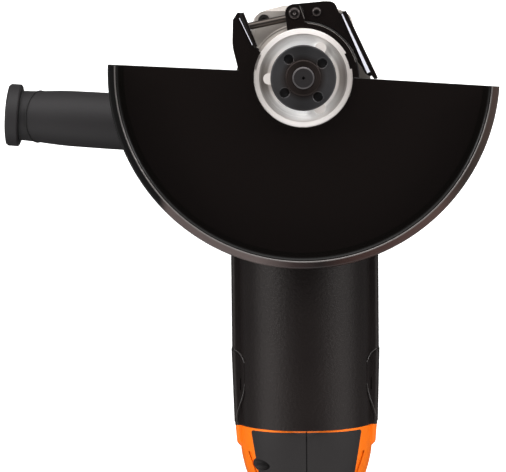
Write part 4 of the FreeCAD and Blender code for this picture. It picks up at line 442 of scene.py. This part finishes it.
def soft_skin():
    """Thermoplastic rubber moulded over the handle: dark grey, dull, very fine grain.

    The grain is drawn coarser than it is, so that it shows.
    """
    made, tree, shader, spot = material("Thermoplastic Rubber, Overmoulded")
    grain = add(tree, "ShaderNodeTexNoise", None, Vector=spot, Scale=per(0.714), Detail=2.0)
    bump = add(tree, "ShaderNodeBump", None, Strength=0.25, Distance=0.0002,
               Height=grain.outputs["Fac"])
    join(tree, shader, Base_Color=linear("#1b1818"), Roughness=0.62, IOR=1.5,
          Specular_IOR_Level=0.30, Normal=bump.outputs["Normal"])
    return made


def grip_plastic():
    """Polypropylene grip with a satin mould finish: smooth, dark grey, soft broad highlight.

    The satin is drawn coarser than it is, so that it shows.
    """
    made, tree, shader, spot = material("Polypropylene, Satin Mould")
    grain = add(tree, "ShaderNodeTexNoise", None, Vector=spot, Scale=per(1.429), Detail=3.0)
    bump = add(tree, "ShaderNodeBump", None, Strength=0.15, Distance=0.0002,
               Height=grain.outputs["Fac"])
    join(tree, shader, Base_Color=linear("#1f1d1e"), Roughness=0.62, IOR=1.49,
          Specular_IOR_Level=0.30, Normal=bump.outputs["Normal"])
    return made


def enamel():
    """Baked black enamel on pressed steel: deep gloss, faint orange peel, sheet edges rounded."""
    made, tree, shader, spot = material("Baked Enamel on Steel Sheet")
    edge = add(tree, "ShaderNodeBevel", {"samples": 6}, Radius=0.5 * MM)
    peel = add(tree, "ShaderNodeTexNoise", None, Vector=spot, Scale=per(3.846), Detail=1.0)
    bump = add(tree, "ShaderNodeBump", None, Strength=0.06, Distance=0.0003,
               Height=peel.outputs["Fac"], Normal=edge.outputs["Normal"])
    join(tree, shader, Base_Color=linear("#0f0b0a"), Roughness=0.16, IOR=1.5,
          Normal=bump.outputs["Normal"])
    return made


def cast_aluminium():
    """Pressure-cast aluminium, shot-blasted: pale grey, grainy, soft metallic sheen.

    It is darker behind the neck, painted shade where the band and the ear shade the casting, and
    paler towards the nose. The marks of the shot are drawn coarser than they are, so that they
    show.
    """
    made, tree, shader, spot = material("Die-Cast Aluminium, Shot-Blasted")
    grain = add(tree, "ShaderNodeTexNoise", None, Vector=spot, Scale=per(1.667), Detail=6.0,
                Roughness=0.65)
    bump = add(tree, "ShaderNodeBump", None, Strength=0.5, Distance=0.0004,
               Height=grain.outputs["Fac"])
    skin = add(tree, "ShaderNodeMix", {"data_type": "RGBA"}, Factor=grain.outputs["Fac"],
               _6=linear("#e2dbd5"), _7=linear("#fffaf5"))
    # painted shade: darker behind the neck, where the band and the ear shade the casting, paler
    # towards the nose
    forward = add(tree, "ShaderNodeSeparateXYZ", None, Vector=spot)
    out_of_shade = add(tree, "ShaderNodeMapRange", {"interpolation_type": "SMOOTHSTEP"},
                Value=forward.outputs["Y"], From_Min=22.0 * MM, From_Max=44.0 * MM)
    colour = add(tree, "ShaderNodeMix", {"data_type": "RGBA"}, Factor=out_of_shade.outputs["Result"],
                 _6=linear("#8b8580"), _7=skin.outputs[2])
    join(tree, shader, Base_Color=colour.outputs[2], Roughness=0.55, Metallic=1.0,
          Normal=bump.outputs["Normal"])
    return made


def turned_aluminium():
    """Cast flange turned on a lathe: bright fans across fine rings, sparkling open grain.

    The bright fans along Y are painted reflections in the colour, dimmer at the sides and darkest
    on the dish's outer slope there. The rings and the open grain are drawn coarser than they are,
    so that they show.
    """
    made, tree, shader, spot = material("Die-Cast Aluminium, Turned")
    rings = add(tree, "ShaderNodeTexWave", {"wave_type": "RINGS", "rings_direction": "Z"},
                Vector=spot, Scale=rings_apart(1.208), Distortion=0.6, Detail=2.0)
    grain = add(tree, "ShaderNodeTexNoise", None, Vector=spot, Scale=per(0.909), Detail=3.0,
                Roughness=0.7)
    cut = add(tree, "ShaderNodeBump", None, Strength=0.12, Distance=0.0002,
              Height=rings.outputs["Fac"])
    bump = add(tree, "ShaderNodeBump", None, Strength=0.35, Distance=0.0003,
               Height=grain.outputs["Fac"], Normal=cut.outputs["Normal"])
    about = add(tree, "ShaderNodeTangent", {"direction_type": "RADIAL", "axis": "Z"})
    flat = add(tree, "ShaderNodeMapping", None, Vector=spot, Scale=(1, 1, 0)).outputs["Vector"]
    reach = add(tree, "ShaderNodeVectorMath", {"operation": "LENGTH"}, _0=flat)
    heading = add(tree, "ShaderNodeVectorMath", {"operation": "NORMALIZE"}, _0=flat)
    across = add(tree, "ShaderNodeSeparateXYZ", None, Vector=heading.outputs["Vector"])
    # painted reflections: fans of light, bright along Y and greyer at the sides
    fan = add(tree, "ShaderNodeMath", {"operation": "POWER"}, _0=across.outputs["Y"], _1=2.0)
    outward = add(tree, "ShaderNodeMapRange", None, Value=reach.outputs["Value"],
                  From_Min=20.0 * MM, From_Max=32.0 * MM)
    # painted reflection at the sides, darkest on the dish's outer slope
    sides = add(tree, "ShaderNodeValToRGB", {"stops": tones(
        (0.0, "#dbd4cf"), (0.22, "#cfc8c3"), (0.3, "#8f8882"), (0.58, "#857e79"),
        (0.66, "#b4aeaa"), (0.97, "#b4aeaa"), (1.0, "#ada6a0"))}, Fac=outward.outputs["Result"])
    ends = add(tree, "ShaderNodeValToRGB", {"stops": tones(
        (0.0, "#ffffff"), (0.58, "#fffdfb"), (0.66, "#f7f2ef"), (0.97, "#f7f2ef"),
        (1.0, "#ada6a0"))}, Fac=outward.outputs["Result"])
    painted_fans = add(tree, "ShaderNodeMix", {"data_type": "RGBA"}, Factor=fan.outputs[0],
                 _6=sides.outputs["Color"], _7=ends.outputs["Color"])
    height = add(tree, "ShaderNodeSeparateXYZ", None, Vector=spot)
    raised = add(tree, "ShaderNodeMapRange", None, Value=height.outputs["Z"],
                 From_Min=PAD_TOP - 0.3 * MM, From_Max=PAD_TOP - 0.1 * MM)
    inside = add(tree, "ShaderNodeMath", {"operation": "LESS_THAN"},
                 _0=reach.outputs["Value"], _1=26.2 * MM)
    on_pad = add(tree, "ShaderNodeMath", {"operation": "MULTIPLY"}, _0=raised.outputs["Result"],
                 _1=inside.outputs[0])
    colour = add(tree, "ShaderNodeMix", {"data_type": "RGBA"}, Factor=on_pad.outputs[0],
                 _6=painted_fans.outputs[2], _7=linear("#d9d3cf"))
    join(tree, shader, Base_Color=colour.outputs[2], Roughness=0.7, Metallic=0.7,
          Anisotropic=0.7, Normal=bump.outputs["Normal"], Tangent=about.outputs["Tangent"])
    return made


def turned_steel():
    """Steel nut, turned and blued: smoky grey face with a darker, browner hub.

    Its rings are drawn coarser than they are, so that they show.
    """
    made, tree, shader, spot = material("Steel, Turned and Blued")
    flat = add(tree, "ShaderNodeMapping", None, Vector=spot, Scale=(1, 1, 0)).outputs["Vector"]
    reach = add(tree, "ShaderNodeVectorMath", {"operation": "LENGTH"}, _0=flat)
    hub = add(tree, "ShaderNodeMapRange", None, Value=reach.outputs["Value"],
              From_Min=11.0 * MM, From_Max=15.0 * MM)
    smoke = add(tree, "ShaderNodeTexNoise", None, Vector=flat, Scale=per(16.67), Detail=2.0)
    face = add(tree, "ShaderNodeMix", {"data_type": "RGBA"}, Factor=smoke.outputs["Fac"],
               _6=linear("#464342"), _7=linear("#58585b"))
    colour = add(tree, "ShaderNodeMix", {"data_type": "RGBA"}, Factor=hub.outputs["Result"],
                 _6=linear("#3a3331"), _7=face.outputs[2])
    rings = add(tree, "ShaderNodeTexWave", {"wave_type": "RINGS", "rings_direction": "Z"},
                Vector=flat, Scale=rings_apart(1.428), Distortion=0.3, Detail=2.0)
    edge = add(tree, "ShaderNodeBevel", {"samples": 6}, Radius=0.35 * MM)
    bump = add(tree, "ShaderNodeBump", None, Strength=0.08, Distance=0.0002,
               Height=rings.outputs["Fac"], Normal=edge.outputs["Normal"])
    about = add(tree, "ShaderNodeTangent", {"direction_type": "RADIAL", "axis": "Z"})
    join(tree, shader, Base_Color=colour.outputs[2], Roughness=0.36, Metallic=1.0,
          Anisotropic=0.7, Normal=bump.outputs["Normal"],
          Tangent=about.outputs["Tangent"])
    return made


def lip_painted_reflections():
    """Enamelled lip with reflections of the room painted into its colour: black, then dull brown.
    """
    made, tree, shader, spot = material("Baked Enamel, Lip with Painted Reflections")
    across = add(tree, "ShaderNodeSeparateXYZ", None, Vector=spot)
    place = add(tree, "ShaderNodeMapRange", None, Value=across.outputs["X"],
                From_Min=-GUARD_R * MM, From_Max=GUARD_R * MM)
    # painted reflections along the lip: black on the far left, dull brown beyond
    painted_reflection = add(tree, "ShaderNodeValToRGB", {"stops": tones(
        (0.0, "#090808"), (0.13, "#090808"), (0.15, "#4b4240"), (0.38, "#524947"),
        (0.47, "#2a2120"), (0.54, "#181312"), (0.61, "#2e201d"), (0.73, "#3a2b28"),
        (0.84, "#443531"), (0.91, "#28211e"), (1.0, "#3a2f2b"))}, Fac=place.outputs["Result"])
    grain = add(tree, "ShaderNodeTexNoise", None, Vector=spot, Scale=per(1.429), Detail=3.0)
    bump = add(tree, "ShaderNodeBump", None, Strength=0.1, Distance=0.0002,
               Height=grain.outputs["Fac"])
    join(tree, shader, Base_Color=painted_reflection.outputs["Color"], Roughness=0.35, IOR=1.5,
          Specular_IOR_Level=0.2, Normal=bump.outputs["Normal"])
    return made


def plain_metal(name, colour, roughness, grain=0.1):
    """Metal with a faint uneven grain in its sheen, drawn coarser than it is so that it shows."""
    made, tree, shader, spot = material(name)
    noise = add(tree, "ShaderNodeTexNoise", None, Vector=spot, Scale=per(2.0), Detail=4.0)
    bump = add(tree, "ShaderNodeBump", None, Strength=grain, Distance=0.0002,
               Height=noise.outputs["Fac"])
    join(tree, shader, Base_Color=linear(colour), Roughness=roughness, Metallic=1.0,
          Normal=bump.outputs["Normal"])
    return made


def plain_stuff(name, colour, roughness, width=1.25, level=0.5):
    """Non-metal with a fine grain, drawn coarser than it is so that it breaks up the sheen."""
    made, tree, shader, spot = material(name)
    noise = add(tree, "ShaderNodeTexNoise", None, Vector=spot, Scale=per(width), Detail=4.0)
    bump = add(tree, "ShaderNodeBump", None, Strength=0.3, Distance=0.0002,
               Height=noise.outputs["Fac"])
    join(tree, shader, Base_Color=linear(colour), Roughness=roughness, Specular_IOR_Level=level,
          Normal=bump.outputs["Normal"])
    return made


# ---- stage ------------------------------------------------------------------------------


def studio_floor():
    """Pale sheet that looks evenly white but throws little light back at the tool."""
    shape = bmesh.new()
    bmesh.ops.create_grid(shape, x_segments=1, y_segments=1, size=6.0)
    mesh = bpy.data.meshes.new("floor")
    shape.to_mesh(mesh)
    shape.free()
    floor = bpy.data.objects.new("floor", mesh)
    floor.location.z = -0.5 * MM
    made = bpy.data.materials.new("Matt White Board")
    made.use_nodes = True
    tree = made.node_tree
    shader = tree.nodes["Principled BSDF"]
    join(tree, shader, Base_Color=linear("#e6e6e6"), Roughness=0.9, Emission_Color=WHITE,
          Emission_Strength=0.85)
    seen = add(tree, "ShaderNodeLightPath").outputs["Is Camera Ray"]
    dull = add(tree, "ShaderNodeBsdfDiffuse", None, Color=linear("#606060")).outputs["BSDF"]
    both = add(tree, "ShaderNodeMixShader", None, _0=seen, _1=dull, _2=shader.outputs["BSDF"])
    tree.links.new(both.outputs["Shader"], tree.nodes["Material Output"].inputs["Surface"])
    mesh.materials.append(made)
    return floor


def studio_world(stage):
    """Soft boxes all round at mid height with two bright cores, dim straight overhead."""
    world = bpy.data.worlds.new("Studio")
    world.use_nodes = True
    tree = world.node_tree
    ray = add(tree, "ShaderNodeTexCoord").outputs["Generated"]
    parts = add(tree, "ShaderNodeSeparateXYZ", None, Vector=ray)
    along = add(tree, "ShaderNodeMath", {"operation": "MULTIPLY"}, _0=parts.outputs["Y"],
                _1=parts.outputs["Y"])
    lowered = add(tree, "ShaderNodeMath", {"operation": "MULTIPLY_ADD"}, _0=along.outputs[0],
                  _1=-stage.box_reach, _2=parts.outputs["Z"])
    glows = ((0.0, stage.horizon_glow), (0.22, stage.box_glow), (0.55, stage.box_glow),
             (0.80, 0.30 * stage.box_glow), (0.94, stage.overhead_glow * 1.5),
             (1.0, stage.overhead_glow))
    height = add(tree, "ShaderNodeValToRGB",
                 {"stops": [(place, (glow, glow, glow, 1)) for place, glow in glows]},
                 Fac=lowered.outputs[0])
    ends = add(tree, "ShaderNodeMath", {"operation": "MULTIPLY_ADD"}, _0=along.outputs[0],
               _1=stage.end_boost, _2=stage.side_glow)
    glow = add(tree, "ShaderNodeMath", {"operation": "MULTIPLY_ADD"}, _0=parts.outputs["Y"],
               _1=stage.nose_boost, _2=1.0)
    glow = add(tree, "ShaderNodeMath", {"operation": "MULTIPLY"}, _0=glow.outputs[0],
               _1=ends.outputs[0])
    lean = add(tree, "ShaderNodeMath", {"operation": "MULTIPLY_ADD"}, _0=parts.outputs["X"],
               _1=-stage.left_boost, _2=1.0)
    glow = add(tree, "ShaderNodeMath", {"operation": "MULTIPLY"}, _0=glow.outputs[0],
               _1=lean.outputs[0])
    glow = add(tree, "ShaderNodeMath", {"operation": "MULTIPLY"}, _0=glow.outputs[0],
               _1=height.outputs["Color"])
    for heading, tilt, strength in CORES:
        aim = (math.sin(tilt) * math.cos(heading), math.sin(tilt) * math.sin(heading),
               math.cos(tilt))
        near = add(tree, "ShaderNodeVectorMath", {"operation": "DOT_PRODUCT"}, _0=ray, _1=aim)
        core = add(tree, "ShaderNodeMapRange", {"interpolation_type": "SMOOTHSTEP"},
                   Value=near.outputs["Value"], From_Min=CORE_FADE[0], From_Max=CORE_FADE[1],
                   To_Min=0.0, To_Max=strength)
        glow = add(tree, "ShaderNodeMath", {"operation": "ADD"}, _0=glow.outputs[0],
                   _1=core.outputs["Result"])
    seen = add(tree, "ShaderNodeLightPath").outputs["Is Camera Ray"]
    plain = add(tree, "ShaderNodeBackground", None, Color=WHITE, Strength=1.0)
    lit = tree.nodes["Background"]
    join(tree, lit, Color=WHITE, Strength=glow.outputs[0])
    both = add(tree, "ShaderNodeMixShader", None, _0=seen, _1=lit.outputs[0],
               _2=plain.outputs[0])
    tree.links.new(both.outputs["Shader"], tree.nodes["World Output"].inputs["Surface"])
    return world


# ---- operators --------------------------------------------------------------------------


class GRINDER_OT_stage(bpy.types.Operator):
    """Floor, soft light all round and camera."""

    bl_idname = "grinder.stage"
    bl_label = "Build Stage"

    def execute(self, context):
        scene = context.scene
        stage = scene.grinder_stage
        floor = studio_floor()
        scene.collection.objects.link(floor)
        scene.world = studio_world(stage)
        scene.view_settings.view_transform = "Standard"
        data = bpy.data.cameras.new("camera")
        data.sensor_width = 36.0
        data.lens = stage.lens
        data.clip_start = 0.05
        data.clip_end = 20.0
        camera = bpy.data.objects.new("camera", data)
        place = Vector(stage.lens_place)
        back = (place - Vector(stage.lens_aim)).normalized()
        up = Vector((math.sin(stage.roll), math.cos(stage.roll), 0))
        side = up.cross(back).normalized()
        turn = Matrix((side, back.cross(side), back)).transposed()
        camera.matrix_world = Matrix.Translation(place) @ turn.to_4x4()
        scene.collection.objects.link(camera)
        scene.camera = camera
        return {"FINISHED"}


class GRINDER_OT_finishes(bpy.types.Operator):
    """Finish of every node that is shown as it was packed."""

    bl_idname = "grinder.finishes"
    bl_label = "Finish Nodes"

    def execute(self, context):
        paint(moulded_nylon(), "motor_housing", "side_cover_left", "side_cover_right",
              "air_baffle", "fan", "spindle_lock_button", "trigger", "lock_on_button",
              "switch_body", "switch_plunger", "speed_module")
        paint(orange_nylon(), "handle_shell_left", "handle_shell_right")
        paint(soft_skin(), "grip_skin_left", "grip_skin_right")
        paint(grip_plastic(), "side_handle_grip")
        paint(enamel(), "guard_shell", "clamp_band", "clamp_lever")
        paint(cast_aluminium(), "gear_case", "bearing_plate")
        paint(turned_aluminium(), "bearing_flange")
        paint(turned_steel(), "clamp_nut")
        for name, colour, roughness, nodes in METALS:
            paint(plain_metal(name, colour, roughness), *nodes)
        for name, colour, roughness, width, nodes in STUFFS:
            paint(plain_stuff(name, colour, roughness, width), *nodes)
        return {"FINISHED"}


class GRINDER_OT_rivet_heads(bpy.types.Operator):
    """Domed rivet heads on the lug and on the barrel's pin."""

    bl_idname = "grinder.rivet_heads"
    bl_label = "Build Rivet Heads"

    def execute(self, context):
        dome = plain_metal("Steel, Upset and Blacked", "#373332", 0.24)
        for name, node, body, sink, radius, crown in RIVET_HEADS:
            spot = axis_spot(node)
            stations = [(radius * share, spot.z - sink + height) for share, height in DOME + crown]
            shape = lathe(stations)
            bmesh.ops.translate(shape, verts=shape.verts, vec=(spot.x * MM, spot.y * MM, 0))
            finished(name, shape, body, dome)
        return {"FINISHED"}


class GRINDER_OT_threads(bpy.types.Operator):
    """Screw threads on the spindle's end and on the tension rod."""

    bl_idname = "grinder.threads"
    bl_label = "Build Threads"

    def execute(self, context):
        sizes = context.scene.grinder_sizes
        cut = plain_metal("Steel, Thread Rolled", "#474341", 0.35)
        nut_top = axis_spot("clamp_nut").z
        tip = axis_spot("spindle").z
        shape = thread(THREAD_R / MM - SPINDLE_RIDGE_SINK, sizes.spindle_pitch / MM,
                       nut_top + SPINDLE_NUT_GAP, tip - SPINDLE_TIP_GAP)
        finished("spindle_thread", shape, "spindle_group", cut, smooth=False)
        low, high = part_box("tension_rod")
        level = (low[2] + high[2]) / 2
        rod_r = (high[2] - low[2]) / 2
        shape = thread(rod_r / MM - ROD_RIDGE_SINK, sizes.rod_pitch / MM, *ROD_THREAD, sides=20)
        near = Vector((high[0], high[1] - rod_r, level))
        far = Vector((low[0], low[1] + rod_r, level))
        turn = (far - near).to_track_quat("Z", "Y").to_matrix().to_4x4()
        bmesh.ops.transform(shape, verts=shape.verts, matrix=Matrix.Translation(near) @ turn)
        finished("rod_thread", shape, "rod", cut, smooth=False)
        return {"FINISHED"}


class GRINDER_OT_bright_edges(bpy.types.Operator):
    """Painted highlights as bright metal bars: a rail beside the lever's web and the edges of the
    ear, lug and collar.
    """

    bl_idname = "grinder.bright_edges"
    bl_label = "Build Bright Edges"

    def execute(self, context):
        # pale and grey metal bars that paint highlights on the enamelled sheet edges
        pale_highlight = plain_metal("Painted Highlight, Pale Matt Metal", "#dcdce2", 0.85)
        grey_highlight = plain_metal("Painted Highlight, Grey Metal", "#76726f", 0.6)
        made = {"pale_highlight": pale_highlight, "grey_highlight": grey_highlight}
        for name, body, finish, start, end, widths, lift, depth in EDGES:
            finished(name, strip(start, end, widths, PLATE_TOP + lift, depth), body,
                     made[finish], smooth=False)
        shape = bmesh.new()
        ring = bmesh.ops.create_circle(shape, segments=8, radius=COLLAR_EDGE_R * MM)["verts"]
        bmesh.ops.rotate(shape, verts=ring, cent=(0, 0, 0),
                         matrix=Matrix.Rotation(math.radians(90), 3, "X"))
        bmesh.ops.translate(shape, verts=ring, vec=(COLLAR_R * MM, 0, (PLATE_TOP - 0.1) * MM))
        bmesh.ops.rotate(shape, verts=ring, cent=(0, 0, 0),
                         matrix=Matrix.Rotation(COLLAR_START, 3, "Z"))
        bmesh.ops.spin(shape, geom=shape.edges[:], cent=(0, 0, 0), axis=(0, 0, 1),
                       dvec=(0, 0, 0), angle=COLLAR_SWEEP, steps=48)
        finished("collar_edge", shape, "guard", grey_highlight)
        return {"FINISHED"}


class GRINDER_OT_cover_lines(bpy.types.Operator):
    """Painted highlights as pale bars along the moulded edges where the side covers meet the motor
    housing.
    """

    bl_idname = "grinder.cover_lines"
    bl_label = "Build Cover Lines"

    def execute(self, context):
        # pale nylon bars that paint the highlights along the covers' edges
        edge = plain_stuff("Nylon, Painted Edge Highlight", "#474342", 0.4)
        for line, width, spots in COVER_LINES:
            for side, mark in ((-1, "left"), (1, "right")):
                whole = bmesh.new()
                places = [on_surface(side * x, y) for x, y in spots]
                for start, end in zip(places, places[1:]):
                    piece = bar(start, end, width * MM)
                    loose = bpy.data.meshes.new("bar")
                    piece.to_mesh(loose)
                    piece.free()
                    whole.from_mesh(loose)
                    bpy.data.meshes.remove(loose)
                finished(f"{line}_{mark}", whole, "housing", edge, smooth=False)
        return {"FINISHED"}


class GRINDER_OT_guard_rim(bpy.types.Operator):
    """Rolled lip with painted reflections, an inner bead with a painted highlight, and rounded
    inside corner of the guard's rim.
    """

    bl_idname = "grinder.guard_rim"
    bl_label = "Build Guard Rim"

    def execute(self, context):
        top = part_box("guard_shell")[1][2] / MM
        lip = GUARD_R - LIP_WIDTH
        thin = plain_stuff("Baked Enamel, Thin in the Corner", "#0b0908", 0.2, level=0.12)
        # grey metal on the bead paints the highlight along the lip's inner edge
        grey_highlight = plain_metal("Painted Highlight, Grey Glossy Metal", "#7a7674", 0.3)
        cove = [(GUARD_R - COVE_FOOT, PLATE_TOP + 0.03)]
        cove += [(GUARD_R - COVE_IN + COVE_R * math.sin(math.radians(slope)),
                  PLATE_TOP + COVE_UP - COVE_R * math.cos(math.radians(slope)))
                 for slope in range(5, 86, 8)]
        bead = [(lip + BEAD_OUT + BEAD_R * math.cos(math.radians(turn)),
                 top - BEAD_DOWN + BEAD_R * math.sin(math.radians(turn)))
                for turn in range(-20, 201, 20)]
        cover = [(GUARD_R - inward, top + up) for inward, up in LIP_COVER]
        for name, stations, made in (("guard_cove", cove, thin), ("guard_bead", bead, grey_highlight),
                                     ("guard_lip", cover, lip_painted_reflections())):
            shape = bmesh.new()
            first = (stations[0][0], 0, stations[0][1])
            corner = bmesh.ops.create_vert(shape, co=first)["vert"][0]
            for here, there in zip(stations, stations[1:]):
                corner = bmesh.ops.extrude_vert_indiv(shape, verts=[corner])["verts"][0]
                bmesh.ops.translate(shape, verts=[corner],
                                    vec=(there[0] - here[0], 0, there[1] - here[1]))
            bmesh.ops.rotate(shape, verts=shape.verts, cent=(0, 0, 0),
                             matrix=Matrix.Rotation(RIM_START + GUARD_TURN, 3, "Z"))
            bmesh.ops.spin(shape, geom=shape.edges[:], cent=(0, 0, 0), axis=(0, 0, 1),
                           dvec=(0, 0, 0), angle=RIM_SWEEP, steps=160)
            bmesh.ops.translate(shape, verts=shape.verts, vec=(*GUARD_CENTRE, 0))
            bmesh.ops.scale(shape, verts=shape.verts, vec=(MM, MM, MM))
            finished(name, shape, "guard", made)
        return {"FINISHED"}


class GRINDER_OT_grip_lines(bpy.types.Operator):
    """Dark rings of painted shade: in the gap beside the end flange and along the curved edge of
    the side grip.
    """

    bl_idname = "grinder.grip_lines"
    bl_label = "Build Grip Lines"

    def execute(self, context):
        # near-black rings paint the shade in the gap beside the flange and at the grip's edge step
        dark = plain_stuff("Nylon, Painted Groove Shade", "#0c0b0b", 0.7)
        turn = Matrix.Rotation(HANDLE_HEADING, 4, "Z")
        move = Matrix.Translation(HANDLE_ROOT)
        for name, reach, radius, tube, lean in GRIP_LINES:
            shape = bmesh.new()
            ring = bmesh.ops.create_circle(shape, segments=8, radius=tube * MM)["verts"]
            bmesh.ops.translate(shape, verts=ring, vec=(0, radius * MM, 0))
            bmesh.ops.spin(shape, geom=shape.edges[:], cent=(0, 0, 0), axis=(1, 0, 0),
                           dvec=(0, 0, 0), angle=2 * math.pi, steps=72)
            skew = Matrix.Identity(4)
            skew[0][2] = lean
            bmesh.ops.transform(shape, verts=shape.verts, matrix=move @ turn
                                @ Matrix.Translation((reach * MM, 0, 0)) @ skew)
            finished(name, shape, "housing", dark)
        return {"FINISHED"}


class GRINDER_PT_panel(bpy.types.Panel):
    """Lists the settings and the steps that dress the grinder."""

    bl_idname = "GRINDER_PT_panel"
    bl_label = "Angle Grinder"
    bl_space_type = "VIEW_3D"
    bl_region_type = "UI"
    bl_category = "Angle Grinder"

    def draw(self, context):
        column = self.layout.column()
        for group, kind in GROUPS.items():
            for name in kind.__annotations__:
                column.prop(getattr(context.scene, group), name)
        for step in STEPS:
            column.operator(step.bl_idname)


STEPS = (GRINDER_OT_stage, GRINDER_OT_finishes, GRINDER_OT_rivet_heads, GRINDER_OT_threads,
         GRINDER_OT_bright_edges, GRINDER_OT_cover_lines, GRINDER_OT_guard_rim,
         GRINDER_OT_grip_lines)
GROUPS = {"grinder_sizes": GrinderSizes, "grinder_colours": GrinderColours,
          "grinder_stage": StageSettings}


def register():
    for name, group in GROUPS.items():
        bpy.utils.register_class(group)
        setattr(bpy.types.Scene, name, bpy.props.PointerProperty(type=group))
    for step in STEPS:
        bpy.utils.register_class(step)
    bpy.utils.register_class(GRINDER_PT_panel)


def unregister():
    bpy.utils.unregister_class(GRINDER_PT_panel)
    for step in reversed(STEPS):
        bpy.utils.unregister_class(step)
    for name, group in GROUPS.items():
        delattr(bpy.types.Scene, name)
        bpy.utils.unregister_class(group)


def main():
    register()
    bpy.ops.grinder.stage()
    bpy.ops.grinder.finishes()
    bpy.ops.grinder.rivet_heads()
    bpy.ops.grinder.threads()
    bpy.ops.grinder.bright_edges()
    bpy.ops.grinder.cover_lines()
    bpy.ops.grinder.guard_rim()
    bpy.ops.grinder.grip_lines()


if __name__ == "__main__":
    main()
